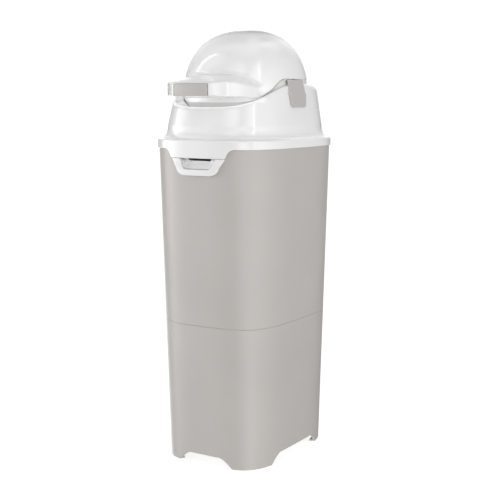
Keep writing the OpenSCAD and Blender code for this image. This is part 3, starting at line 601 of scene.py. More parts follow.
def arch_height(distance, half_w):
    """Height of an arch at a distance from its middle: flat, with a sloping shoulder."""
    s = sizes()
    t = np.clip((np.abs(distance) - half_w + s.arch_run) / s.arch_run, 0, 1)
    return s.arch_h * (1 - t**1.65)


def foot_line(ring):
    """Height of the body's lower edge under each point of a ring."""
    s = sizes()
    return np.maximum(arch_height(ring[:, 0], s.front_arch), arch_height(ring[:, 1], s.side_arch))


class NAPPYBIN_OT_base_section(bpy.types.Operator):
    """Make the lower body section with its feet, floor panel and spigot"""

    bl_idname = "nappybin.base_section"
    bl_label = "Base section"

    def execute(self, context):
        s = sizes()
        angles = plan_angles(440, s.base_w / 2, s.base_d / 2, s.plan_power)
        unit = unit_outline(angles, s.plan_power)
        foot = foot_line(body_ring(unit, 0.0))
        top, r, wall = s.seam_z, s.edge_round, s.wall
        rings = [body_ring(unit, foot, -wall + 0.0008), body_ring(unit, foot, -0.0009)]
        rings += [body_ring(unit, foot + up, -back) for back, up in reversed(corner(0.0009, 5)[:-1])]
        rings += [body_ring(unit, mix(foot + 0.0018, top - 0.002, t)) for t in np.linspace(0, 1, 12)]
        rings += [body_ring(unit, top - down, -back) for back, down in corner(r, 5)]
        spigot = wall + 0.0002
        for back, z in (
            (spigot, top),
            (spigot, top + 0.0152),
            (spigot + 0.0008, top + 0.016),
            (spigot + 0.0016, top + 0.016),
            (spigot + 0.0024, top + 0.0152),
            (spigot + 0.0024, top - 0.016),
            (wall, top - 0.0185),
        ):
            rings.append(body_ring(unit, z, -back))
        rings += [body_ring(unit, mix(top - 0.02, foot + 0.0008, t), -wall) for t in np.linspace(0, 1, 8)]
        shell = ring_piece("base_shell", rings)
        loose = unit_outline(plan_angles(160, s.base_w / 2, s.base_d / 2, s.plan_power), s.plan_power)
        floor_low, floor_high = 0.022, 0.025
        panel = [
            body_ring(loose, floor_low, -wall + 0.0001),
            body_ring(loose, floor_high, -wall + 0.0001),
            body_ring(loose, floor_high, -wall - 0.004),
        ]
        floor = ring_piece("base_floor", panel, ends="capped")
        parts = [shell, floor]
        flat = foot < 1e-6
        starts = [k for k in range(len(unit)) if flat[k] and not flat[k - 1]]
        for number, start in enumerate(starts):
            run = start
            sections = []
            while flat[run % len(unit)]:
                spot = unit[run % len(unit)][None, :]
                loop = [(-wall + 0.0006, 0.0), (-0.0095, 0.0), (-0.0095, 0.003), (-wall + 0.0006, 0.003)]
                sections.append(np.concatenate([body_ring(spot, z, grow) for grow, z in loop]))
                run += 1
            parts.append(ring_piece(f"base_sole_{number}", sections, ends="capped"))
        piece = join(parts, "base_section_shell")
        bpy.ops.object.shade_smooth_by_angle(angle=math.radians(40))
        settle(piece, "bin", "shell_grey", finish("satin_shell"), "base_section")
        return {"FINISHED"}


class NAPPYBIN_OT_body_shell(bpy.types.Operator):
    """Make the upper body section with its rim and the window behind the latch"""

    bl_idname = "nappybin.body_shell"
    bl_label = "Upper body section"

    def execute(self, context):
        s = sizes()
        unit = unit_outline(plan_angles(400, s.rim_w / 2, s.rim_d / 2, s.plan_power), s.plan_power)
        low, r, wall, rim = s.seam_z + s.seam_gap, s.edge_round, s.wall, s.rim_z
        rings = [body_ring(unit, low, -wall + 0.0006)]
        rings += [body_ring(unit, low + up, -back) for back, up in reversed(corner(r, 5))]
        rings += [body_ring(unit, z) for z in np.linspace(low + 0.002, rim - 0.0042, 12)]
        rings += [body_ring(unit, rim - down, -back) for back, down in corner(0.0013, 5)]
        rings += [body_ring(unit, rim - down, back - wall) for back, down in reversed(corner(0.0008, 4))]
        rings += [body_ring(unit, z, -wall) for z in np.linspace(rim - 0.002, low + 0.0008, 6)]
        piece = ring_piece("body_shell_smooth", rings)
        latch_top = rim - s.collar_drop - s.tab_drop - 0.0005
        front = -body_half(latch_top - s.scoop_h)[1]
        window = box_piece(
            "window",
            (-s.scoop_w - 0.0026, front - 0.005, latch_top - s.scoop_h - 0.0026),
            (s.scoop_w + 0.0026, front + 0.007, latch_top + 0.001),
        )
        cut_away(piece, window)
        settle(piece, "bin", "shell_grey", finish("satin_shell"), "body_shell")
        return {"FINISHED"}


# ---- Top cover ----


def hood_half(z):
    """Half width and half depth of the hood's outside at height z."""
    s = sizes()
    foot = hood_foot()
    t = (z - foot) / (s.rim_z + s.mouth_back - foot)
    return (
        s.rim_w / 2 - s.hood_in_x - s.hood_draft_x * t,
        s.rim_d / 2 - s.hood_in_y - s.hood_draft_y * t,
    )


def ledge_z():
    return sizes().rim_z + 0.0022


def hood_foot():
    s = sizes()
    return ledge_z() + s.cover_wall + s.fillet_h


def mouth_z(y):
    """Height of the mouth's edge: low in front, high from the pivots backwards."""
    s = sizes()
    depth = s.rim_d / 2 - s.hood_in_y
    t = np.clip((0.95 * y + depth - 0.0065) / depth, 0, 1)
    return s.rim_z + mix(s.mouth_front, s.mouth_back, np.sin(t * math.pi / 2))


def hood_ring(unit, rise, inset=0.0, drop=0.0, bend=(0.0, 0.0)):
    """A ring on the hood. rise runs from its foot to the mouth's edge, and bend is how far the
    ring has gone round that edge's rounding: inwards and down, in radii."""
    s = sizes()
    y = unit[:, 1] * (s.rim_d / 2 - s.hood_in_y)
    r = mix(s.mouth_round, s.mouth_round_back, smooth((y - 0.02) / 0.06))
    z = mix(hood_foot(), mouth_z(y) - bend[1] * r, rise) - drop
    a, b = hood_half(z)
    a, b = a - inset - bend[0] * r, b - inset - bend[0] * r
    lean = s.hood_lean * (z - hood_foot()) / (s.rim_z + s.mouth_back - hood_foot())
    return np.stack((unit[:, 0] * a, unit[:, 1] * b + lean, z), axis=1)


def fillet_ring(angles, step, thick):
    """A ring on the hollow fillet between collar and hood, step from 0 at the collar to 1."""
    s = sizes()
    turn = math.pi / 2 * step
    w = 0.3 + 0.7 * math.sin(turn)
    grow = s.collar_gap + s.collar_t
    z = hood_foot() - s.fillet_h * math.cos(turn) - thick * math.cos(turn)
    unit = unit_outline(angles, mix(s.plan_power, s.hood_power, w))
    a = mix(s.rim_w / 2 + grow, s.rim_w / 2 - s.hood_in_x, w) - thick * math.sin(turn)
    b = mix(s.rim_d / 2 + grow, s.rim_d / 2 - s.hood_in_y, w) - thick * math.sin(turn)
    return np.stack((unit[:, 0] * a, unit[:, 1] * b, np.full(len(unit), z)), axis=1)


def rim_ring(unit, z, grow):
    s = sizes()
    z = np.broadcast_to(np.asarray(z, float), len(unit))
    return np.stack((unit[:, 0] * (s.rim_w / 2 + grow), unit[:, 1] * (s.rim_d / 2 + grow), z), axis=1)


def tab_line(ring):
    """Height of the collar's lower edge: the tab hangs down in front."""
    s = sizes()
    collar = s.rim_z - s.collar_drop
    x = np.abs(ring[:, 0])
    middle = s.tab_w + 0.003 + s.tab_round
    across = np.clip(middle - x, 0, s.tab_round * 0.985)
    shoulder = collar - s.tab_round + np.sqrt(s.tab_round**2 - across**2)
    low = collar - s.tab_drop
    slope = smooth((x - s.tab_w) / 0.0035)
    z = np.where(x >= middle, collar, mix(low, np.maximum(shoulder, low), slope))
    return np.where(ring[:, 1] < 0, z, collar)


def drum_norm(points, grow=0.0, powers=None):
    """Below 0 inside the dome's form, grown or shrunk, and above 0 outside it, in metres."""
    s = sizes()
    reach = np.hypot(points[..., 1], points[..., 2] - s.axis_z) / (s.drum_r + grow)
    along = np.abs(points[..., 0]) / (s.drum_half + grow)
    p, q = powers or (s.dome_along, s.dome_about)
    return ((along**p + reach**q) ** (2 / (p + q)) - 1) * s.drum_r


def deck_drop(past):
    """How far the deck lies below the mouth's edge, at a distance in from its rounding."""
    return np.interp(past, (0, 0.006, 0.013, 0.030, 0.060), (0, 0.0011, 0.0034, 0.011, 0.0215))


def deck_rings(unit, thick, count):
    """Rings over the deck, from the mouth's rounding in to the drum's opening."""

    def ring(past):
        return hood_ring(unit, 1.0, thick + past, thick + deck_drop(past), (1.0, 0.0))

    low, high = np.zeros(len(unit)), np.full(len(unit), 0.055)
    for _ in range(40):
        middle = (low + high) / 2
        inside = drum_norm(ring(middle), 0.0004) < 0
        high = np.where(inside, middle, high)
        low = np.where(inside, low, middle)
    return [ring(low * t) for t in np.linspace(0, 1, count)[1:]]


class NAPPYBIN_OT_top_cover(bpy.types.Operator):
    """Make the top cover: collar and tab, fillet, hood, mouth and deck, hinge arm and catch"""

    bl_idname = "nappybin.top_cover"
    bl_label = "Top cover"

    def execute(self, context):
        s = sizes()
        grow, collar, ledge = s.collar_gap + s.collar_t, s.rim_z - s.collar_drop, ledge_z()

        def density(points):
            x = np.abs(points[:, 0])
            return 1 + 3.0 * ((points[:, 1] < 0) & (x > s.tab_w - 0.003) & (x < s.tab_w + 0.019))

        angles = plan_angles(460, s.rim_w / 2, s.rim_d / 2, s.plan_power, density)
        plan = unit_outline(angles, s.plan_power)
        hood = unit_outline(angles, s.hood_power)
        low = tab_line(rim_ring(plan, 0.0, grow))
        rings = [rim_ring(plan, low, s.collar_gap + 0.0003)]
        rings += [rim_ring(plan, low + up, grow - back) for back, up in reversed(corner(0.0009, 5))]
        rings += [rim_ring(plan, mix(low + 0.0018, ledge - 0.0006, t), grow) for t in (0, 0.35, 0.7, 1)]
        crown = corner(0.0028, 6)
        rings += [rim_ring(plan, ledge + 0.0026 - down, grow - back) for back, down in crown]
        rings += [fillet_ring(angles, step, 0.0) for step in np.linspace(0.08, 1, 12)]
        rings += [hood_ring(hood, rise, bend=(0, 1)) for rise in np.linspace(0, 1, 12)[1:-1]]
        rings += [hood_ring(hood, 1.0, bend=turn) for turn in corner(1.0, 9)]
        rings += deck_rings(hood, 0.0, 14)
        under = deck_rings(hood, s.cover_wall, 7)
        lip = (rings[-1] + under[-1]) / 2
        rings.append(mix(rings[-1], lip, 0.5))
        rings += [mix(under[-1], lip, 0.5)] + under[::-1]
        wall = s.cover_wall
        rings += [hood_ring(hood, 1.0, wall, wall, turn) for turn in reversed(corner(1.0, 4))]
        rings += [hood_ring(hood, rise, wall, 0.0, (0, 1)) for rise in np.linspace(1, 0, 6)[1:-1]]
        rings += [fillet_ring(angles, step, wall) for step in np.linspace(1, 0, 6)]
        rings += [rim_ring(plan, ledge, s.collar_gap), rim_ring(plan, mix(low, ledge, 0.5), s.collar_gap)]
        rings.append(rim_ring(plan, low + 0.0006, s.collar_gap))
        shell = ring_piece("cover_shell", rings, merge=0.000005)
        piece = join([shell, *self.hinge_arm(), *self.catch(), *self.bosses()], "top_cover_shell")
        bpy.ops.object.shade_smooth_by_angle(angle=math.radians(38))
        settle(piece, "cover", "gloss_white", finish("gloss_white"), "top_cover")
        return {"FINISHED"}

    def hinge_arm(self):
        """The knuckle and the arm that carries it, outside the collar."""
        low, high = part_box("hinge_pin")
        y, z = (low.y + high.y) / 2, (low.z + high.z) / 2
        half, r = 0.0195, 0.0065
        s = sizes()
        knuckle = rod_piece("knuckle", -half, half, y, z, r, 0.0006)
        outline = [
            (s.rim_d / 2 + s.collar_gap + 0.001, ledge_z()),
            (s.rim_d / 2 + s.collar_gap + 0.001, s.rim_z - s.collar_drop + 0.001),
            (y - r + 0.0012, z + 0.003),
            (y, z),
            (y + r, z),
            (y + r - 0.001, z + 0.008),
            (s.rim_d / 2 + s.collar_gap + s.collar_t + 0.002, ledge_z()),
        ]
        sections = [np.array([(x, py, pz) for py, pz in outline]) for x in (-half, half)]
        arm = ring_piece("hinge_arm", sections, ends="capped")
        pick(arm)
        bpy.ops.object.mode_set(mode="EDIT")
        bpy.ops.mesh.select_all(action="SELECT")
        bpy.ops.mesh.bevel(offset=0.0005, segments=2, affect="EDGES")
        bpy.ops.object.mode_set(mode="OBJECT")
        return [knuckle, arm]

    def catch(self):
        """The catch inside the front, which the latch's hook holds."""
        s = sizes()
        y = -s.rim_d / 2 + s.wall + 0.0018
        hook_z = s.rim_z - s.collar_drop - 0.004
        plate = box_piece(
            "catch_plate", (-0.016, y, hook_z - 0.0065), (0.016, y + 0.0023, ledge_z() + 0.001), 0.0004
        )
        foot = box_piece(
            "catch_foot", (-0.016, y, hook_z - 0.0065), (0.016, y + 0.0049, hook_z - 0.0035), 0.0004
        )
        return [plate, foot]

    def bosses(self):
        """The bosses inside the hood's sides, which carry the drum's bushes."""
        s = sizes()
        inner = s.drum_half - 0.008
        outer = hood_half(s.axis_z)[0] - 0.0015
        right = rod_piece("boss_right", inner, outer, 0.0, s.axis_z, 0.015, 0.0006)
        bore = rod_piece("bore", inner - 0.001, outer - 0.002, 0.0, s.axis_z, 0.0076)
        cut_away(right, bore)
        return [right, mirrored(right, "boss_left")]


# ---- Drum dome and visor ----


def round_max(a, b, r):
    """Intersection of two forms with a rounded edge."""
    return np.minimum(np.maximum(a, b), -r) + np.hypot(np.maximum(a + r, 0), np.maximum(b + r, 0))


def round_min(a, b, r):
    """Union of two forms with a filleted crease."""
    return np.maximum(np.minimum(a, b), r) - np.hypot(np.maximum(r - a, 0), np.maximum(r - b, 0))


def visor_plan(x, y):
    """1 on the visor's outline, seen from above, and less inside it."""
    s = sizes()
    ahead = np.maximum(-y - s.visor_root, 0) / (s.visor_reach - s.visor_root)
    p = s.visor_power
    return ((np.abs(x) / s.visor_w) ** p + ahead**p) ** (1 / p), ahead


def dome_field(points):
    """Below 0 inside the dome and its visor, above 0 outside, with soft creases between them."""
    s = sizes()
    x, y = points[..., 0], points[..., 1]
    plan, ahead = visor_plan(x, y)
    z = points[..., 2] - s.visor_lift * ahead
    side = (plan - 1) * 0.074
    low = s.axis_z - s.visor_low
    high = low + s.visor_h
    across = np.clip(np.abs(x) / s.visor_w, 0, 1)
    crown = high + s.visor_rise * (1 - np.clip(ahead, 0, 1)) ** 0.9 * (1 - across**3.6)
    recess = 0.0006 * smooth((-side - 0.0044) / 0.0005)
    visor = round_max(side, z - crown, 0.0024)
    visor = round_max(visor, low + recess - z, 0.0014)
    visor = np.maximum(visor, y + 0.02)
    fillet = mix(0.0015, s.visor_fillet, smooth((z - low - 0.001) / 0.014))
    return round_min(drum_norm(points), visor, fillet)


def dome_edge(y):
    """Height of the dome's lower edge: low in front, high over the pivots and behind."""
    return sizes().axis_z + mix(-0.015, 0.023, smooth((y + 0.1) / 0.073))


def ray_hits(field, start, headings, far=0.2):
    """Where rays from inside a form leave it."""
    near, end = np.zeros(headings.shape[:-1]), np.full(headings.shape[:-1], far)
    for _ in range(34):
        middle = (near + end) / 2
        outside = field(start + headings * middle[..., None]) > 0
        end = np.where(outside, middle, end)
        near = np.where(outside, near, middle)
    return start + headings * near[..., None]


def headings(turns, lifts):
    """Directions from turns round the vertical, 0 to the front, and lifts above the level."""
    turns, lifts = np.broadcast_arrays(turns, lifts)
    return np.stack(
        (np.sin(turns) * np.cos(lifts), -np.cos(turns) * np.cos(lifts), np.sin(lifts)), axis=-1
    )


def lines_down(field, start, turns, count, turn_weight, fine=900):
    """Lines from the dome's top down to its wavy edge, one for each turn, spread by their shape."""
    lifts = np.radians(np.linspace(90, -28, fine))
    hits = ray_hits(field, start, headings(turns[:, None], lifts[None, :]))
    lines = []
    for line in hits:
        over = line[:, 2] - dome_edge(line[:, 1])
        last = int(np.argmax(over < 0))
        t = over[last - 1] / (over[last - 1] - over[last])
        whole = np.concatenate((line[:last], [mix(line[last - 1], line[last], t)]))
        places = spread(whole, count, turn_weight)
        lines.append(
            np.stack([np.interp(places, np.arange(len(whole)), whole[:, k]) for k in range(3)], axis=1)
        )
    return np.array(lines)


def visor_front(x, proud=0.0):
    """Distance of the visor's front from the axis, at x."""
    s = sizes()
    half, reach = s.visor_w + proud, s.visor_reach + proud - s.visor_root
    return s.visor_root + reach * (1 - (np.abs(x) / half) ** s.visor_power) ** (1 / s.visor_power)


def slice_along(piece, axis, places):
    """Cuts a piece across by level or upright planes, for its bends."""
    pick(piece)
    bpy.ops.object.mode_set(mode="EDIT")
    for place in places:
        bpy.ops.mesh.select_all(action="SELECT")
        co, normal = [0.0] * 3, [0.0] * 3
        co[axis], normal[axis] = place, 1.0
        bpy.ops.mesh.bisect(plane_co=co, plane_no=normal)
    bpy.ops.object.mode_set(mode="OBJECT")


def plate_form(name, half, below=0.0, deep=0.0024):
    """The handle plate's form: a flat block, bent round the visor's front and lifted with it."""
    s = sizes()
    low = s.axis_z - s.visor_low
    high = low + s.visor_h - 0.0002
    plate = box_piece(name, (-half, -0.0024, low - below), (half, deep - 0.0024, high + below), 0.0007)
    slice_along(plate, 0, np.linspace(-half, half, 42)[1:-1])
    for vertex in plate.data.vertices:
        vertex.co.y += -visor_front(vertex.co.x, s.plate_proud) + 0.0024
        vertex.co.z += s.visor_lift * (-vertex.co.y - s.visor_root) / (s.visor_reach - s.visor_root)
    return plate


class NAPPYBIN_OT_drum_dome(bpy.types.Operator):
    """Make the dome with its visor: one moulded skin with soft creases and a wavy lower edge"""

    bl_idname = "nappybin.drum_dome"
    bl_label = "Dome and visor"

    def execute(self, context):
        s = sizes()
        start = np.array((0.0, -0.045, s.axis_z + 0.004))
        around = np.linspace(0, TAU, 3601)
        belt = ray_hits(dome_field, start, headings(around, np.zeros(3601)))
        places = spread(belt, 361, 0.02)[:-1]
        turns = np.interp(places, np.arange(3601), around)
        outer = lines_down(dome_field, start, turns, 150, 0.012)
        powers = (s.drum_power, s.drum_power)
        inner = lines_down(lambda p: drum_norm(p, -s.dome_t, powers), start, turns, 24, 0.004)
        edge_out, edge_in = outer[:, -1], inner[:, -1]
        drop = np.array((0, 0, 0.0004))
        rings = [outer[:, k] for k in range(outer.shape[1] - 1)]
        rings.append(mix(outer[:, -2], edge_out, 0.6))
        rounding = ((0.06, 0.5), (0.25, 1), (0.75, 1), (0.94, 0.5))
        rings += [mix(edge_out, edge_in, t) - drop * w for t, w in rounding]
        rings += [inner[:, k] for k in range(inner.shape[1] - 1, -1, -1)]
        piece = ring_piece("drum_dome_shell", rings, ends="open")
        cut_away(piece, plate_form("plate_pocket", s.plate_w / 2 + 0.0012, 0.0005, 0.0038))
        settle(piece, "drum", "gloss_white", finish("gloss_white"), "drum_dome")
        return {"FINISHED"}


# ---- Handle plate and pivot straps ----


class NAPPYBIN_OT_handle_plate(bpy.types.Operator):
    """Make the grey plate that sits in the visor's front, curved with it"""

    bl_idname = "nappybin.handle_plate"
    bl_label = "Handle plate"

    def execute(self, context):
        plate = plate_form("handle_plate_smooth", sizes().plate_w / 2)
        bpy.ops.object.shade_smooth_by_angle(angle=math.radians(30))
        settle(plate, "drum", "trim_grey", finish("satin_trim"), "handle_plate")
        return {"FINISHED"}


class NAPPYBIN_OT_pivot_straps(bpy.types.Operator):
    """Make the two grey straps that cover the drum's pivots, bent over the hood's shoulders"""

    bl_idname = "nappybin.pivot_straps"
    bl_label = "Pivot straps"

    def execute(self, context):
        s = sizes()
        low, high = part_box("pivot_strap_right")
        half = s.strap_w / 2
        corner_low, corner_high = 0.006, 0.003
        foot_w = half - 0.0026
        outline = []
        for t in np.radians(np.linspace(-90, 0, 9)):
            outline.append((foot_w - corner_low * (1 - math.cos(t)), low.z + corner_low * (1 + math.sin(t))))
        outline.append((half, s.axis_z - 0.001))
        for t in np.radians(np.linspace(0, 90, 7)):
            outline.append(
                (foot_w + 0.0006 - corner_high * (1 - math.cos(t)), high.z - corner_high * (1 - math.sin(t)))
            )
        outline += [(-y, z) for y, z in reversed(outline)]
        sections = [np.array([(x, y, z) for y, z in outline]) for x in (-0.0024, 0.0)]
        strap = ring_piece("pivot_strap_smooth_right", sections, ends="capped")
        pick(strap)
        bpy.ops.object.mode_set(mode="EDIT")
        select_edges(strap, lambda a, b: a.x == b.x == 0.0)
        bpy.ops.mesh.bevel(offset=0.0007, segments=3, affect="EDGES")
        bpy.ops.object.mode_set(mode="OBJECT")
        slice_along(strap, 2, np.linspace(low.z, high.z, 66)[1:-1])
        slice_along(strap, 1, np.linspace(-half, half, 16)[1:-1])
        bend = s.axis_z - 0.001
        top = s.drum_half + 0.001
        for vertex in strap.data.vertices:
            z = vertex.co.z
            lower = hood_half(z)[0] + 0.0003
            upper = mix(hood_half(bend)[0] + 0.0003, top, (z - bend) / (high.z - bend))
            ledge = 0.0013 * (vertex.co.x / 0.0024 + 1) * (1 - smooth((z - bend) / 0.004 + 0.5))
            vertex.co.x += 0.0024 + (lower if z < bend else upper) + ledge
            vertex.co.y += mix(-0.002, 0.0015, (z - low.z) / (high.z - low.z))
        bpy.ops.object.shade_smooth_by_angle(angle=math.radians(35))
        left = mirrored(strap, "pivot_strap_smooth_left")
        settle(strap, "cover", "trim_grey", finish("satin_trim"), "pivot_strap_right")
        settle(left, "cover", "trim_grey", finish("satin_trim"), "pivot_strap_left")
        return {"FINISHED"}


# ---- Latch ----


def latch_top():
    s = sizes()
    return s.rim_z - s.collar_drop - s.tab_drop - 0.0005


def bowl(half_w, low_w, radius, low_z, top_z, count):
    """A U-shaped line from the left top, round two lower corners, to the right top."""
    right = [(half_w, top_z)]
    for t in np.radians(np.linspace(-18, -90, 24)):
        right.append((low_w + radius * math.cos(t), low_z + radius + radius * math.sin(t)))
    line = np.array([(-x, z) for x, z in right] + right[::-1])
    places = spread(line, count, 0.01)
    fine = np.arange(len(line))
    return np.stack((np.interp(places, fine, line[:, 0]), np.interp(places, fine, line[:, 1])), axis=1)


class NAPPYBIN_OT_latch(bpy.types.Operator):
    """Make the latch's white face with its duct, and the hollow button in its finger scoop"""

    bl_idname = "nappybin.latch"
    bl_label = "Latch"

    def execute(self, context):
        s = sizes()
        top = latch_top()
        low = top - s.latch_h
        scoop_low = top - s.scoop_h
        count = 120
        outer = bowl(s.tab_w, s.tab_w / 2 - 0.00175, 0.017, low, top, count)
        inner = bowl(s.scoop_w, s.scoop_w - 0.014, 0.010, scoop_low, top, count)
        back = bowl(s.scoop_w + 0.0016, s.scoop_w - 0.0124, 0.010, scoop_low - 0.0016, top - 0.0003, count)
        grow = s.collar_gap + s.collar_t
        front = -body_half(scoop_low)[1]
        duct_end = front + 0.0124

        def at(line, grow, depth=None):
            if depth is None:
                lip = s.latch_lip * smooth((top - line[:, 1]) / 0.02) * min(1, grow / 0.001)
                depth = -body_face(line[:, 0], line[:, 1], grow) - lip
            return np.stack((line[:, 0], np.full(len(line), depth), line[:, 1]), axis=1)

        loop = [at(outer, 0.0001)]
        span = np.linalg.norm(inner - outer, axis=1)[:, None]
        for inset, down in corner(0.001, 5):
            loop.append(at(outer + (inner - outer) * inset / span, grow - down))
        for t in (0.2, 0.4, 0.6, 0.8):
            loop.append(at(mix(outer, inner, t), grow))
        for inset, down in reversed(corner(0.0013, 5)):
            loop.append(at(inner + (outer - inner) * inset / span, grow - down))
        loop += [at(inner, 0, mix(front, duct_end, t)) for t in (0.15, 0.5, 1.0)]
        loop += [at(back, 0, duct_end), at(back, 0, front + 0.001), at(back, 0.0001)]
        stations = np.array(loop).transpose(1, 0, 2)
        face = ring_piece("latch_face", list(stations), ends="capped", merge=0.000002)
        bpy.ops.object.shade_smooth_by_angle(angle=math.radians(40))
        settle(face, "bin", "gloss_white", finish("gloss_white"), "latch_frame")
        self.button(front, top, scoop_low, duct_end)
        return {"FINISHED"}

    def button(self, front, top, scoop_low, duct_end):
        """The hollow pad: its rim follows the scoop and its middle lies deep under the slot."""
        s = sizes()
        count, steps = 72, 22
        rim = bowl(s.scoop_w - 0.0004, s.scoop_w - 0.0144, 0.010, scoop_low + 0.0004, top - 0.0002, count)
        high = top - 0.0036
        x = np.linspace(-1, 1, count) * (s.scoop_w - 0.0008)
        crest_z = mix(top - 0.0002, high, 0.5 * (1 - np.tanh((np.abs(x) - s.slot_w) / 0.0008)))
        crest = np.stack((x, crest_z), axis=1)
        rows = []
        for t in np.linspace(0, 1, steps):
            spot = mix(rim, crest, t)
            depth = s.scoop_depth * np.sin(t * math.pi / 2) ** 0.8
            y = -body_face(spot[:, 0], spot[:, 1], 0.0006) + depth
            rows.append(np.stack((spot[:, 0], y, spot[:, 1]), axis=1))
        skin = np.array(rows)
        behind = duct_end + 0.0014
        back_rows = []
        for row in (rows[-1], rows[0]):
            flat = row.copy()
            flat[:, 1] = behind
            back_rows.append(flat)
        loop = np.concatenate((skin, back_rows))
        pad = ring_piece("latch_pad", list(loop.transpose(1, 0, 2)), ends="capped", merge=0.000002)
        low, high_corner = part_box("latch_button")
        stem = box_piece(
            "latch_stem",
            (-0.015, behind - 0.002, top - 0.0094),
            (0.015, behind + 0.001, high_corner.z - 0.001),
            0.0005,
        )
        nose = box_piece(
            "latch_nose",
            (-0.015, -s.rim_d / 2 + s.wall + 0.0018 + 0.0052, high_corner.z - 0.005),
            (0.015, behind + 0.001, high_corner.z - 0.001),
            0.0006,
        )
        ears = box_piece(
            "latch_ears",
            (-s.scoop_w - 0.003, behind - 0.001, scoop_low + 0.0024),
            (s.scoop_w + 0.003, behind + 0.001, scoop_low + 0.0104),
            0.0004,
        )
        piece = join([pad, stem, nose, ears], "latch_button_smooth")
        bpy.ops.object.shade_smooth_by_angle(angle=math.radians(40))
        settle(piece, "latch", "gloss_white", finish("gloss_white"), "latch_button")
        # Painted shade: the parts deep behind the pad get the near-black finish.
        piece.data.materials.append(finish("painted_slot_shade"))
        for face in piece.data.polygons:
            face.material_index = int(face.center.y > behind - 0.0024)


# ---- Finishes of the frame's own pieces ----


class NAPPYBIN_OT_node_finishes(bpy.types.Operator):
    """Give the frame's own pieces their moulded, rubber and steel finishes"""

    bl_idname = "nappybin.node_finishes"
    bl_label = "Finishes of the frame's pieces"

    def execute(self, context):
        for name, nodes in NODE_FINISHES.items():
            for node in nodes:
                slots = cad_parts[node].data.materials
                slots.clear()
                slots.append(finish(name))
        return {"FINISHED"}


# ---- Stage ----

CAMERA_PLACE = (0.96442, -1.55271, 0.60569)
CAMERA_AIM = (0.0, 0.0, 0.346475)
CAMERA_LENS = 76.815
CAMERA_SHIFT = 0.00643

# The soft surround: turn from the front towards the right, lift above the level, and strength
SURROUND = (
    (-120, -30, 3.6),
    (60, -30, 3.80),
    (-60, 0, 6.17),
    (30, 0, 2.92),
    (90, 0, 2.25),
    (120, 0, 1.3),
    (150, 0, 0.8),
    (-150, 0, 2.6),
    (0, 30, 2.44),
    (60, 30, 2.35),
    (180, 30, 1.5),
    (-120, 30, 1.07),
    (-90, 60, 0.86),
    (150, 60, 1.96),
    (-150, 60, 0.97),
)
OVERHEAD = 1.73
BELOW = 5.0


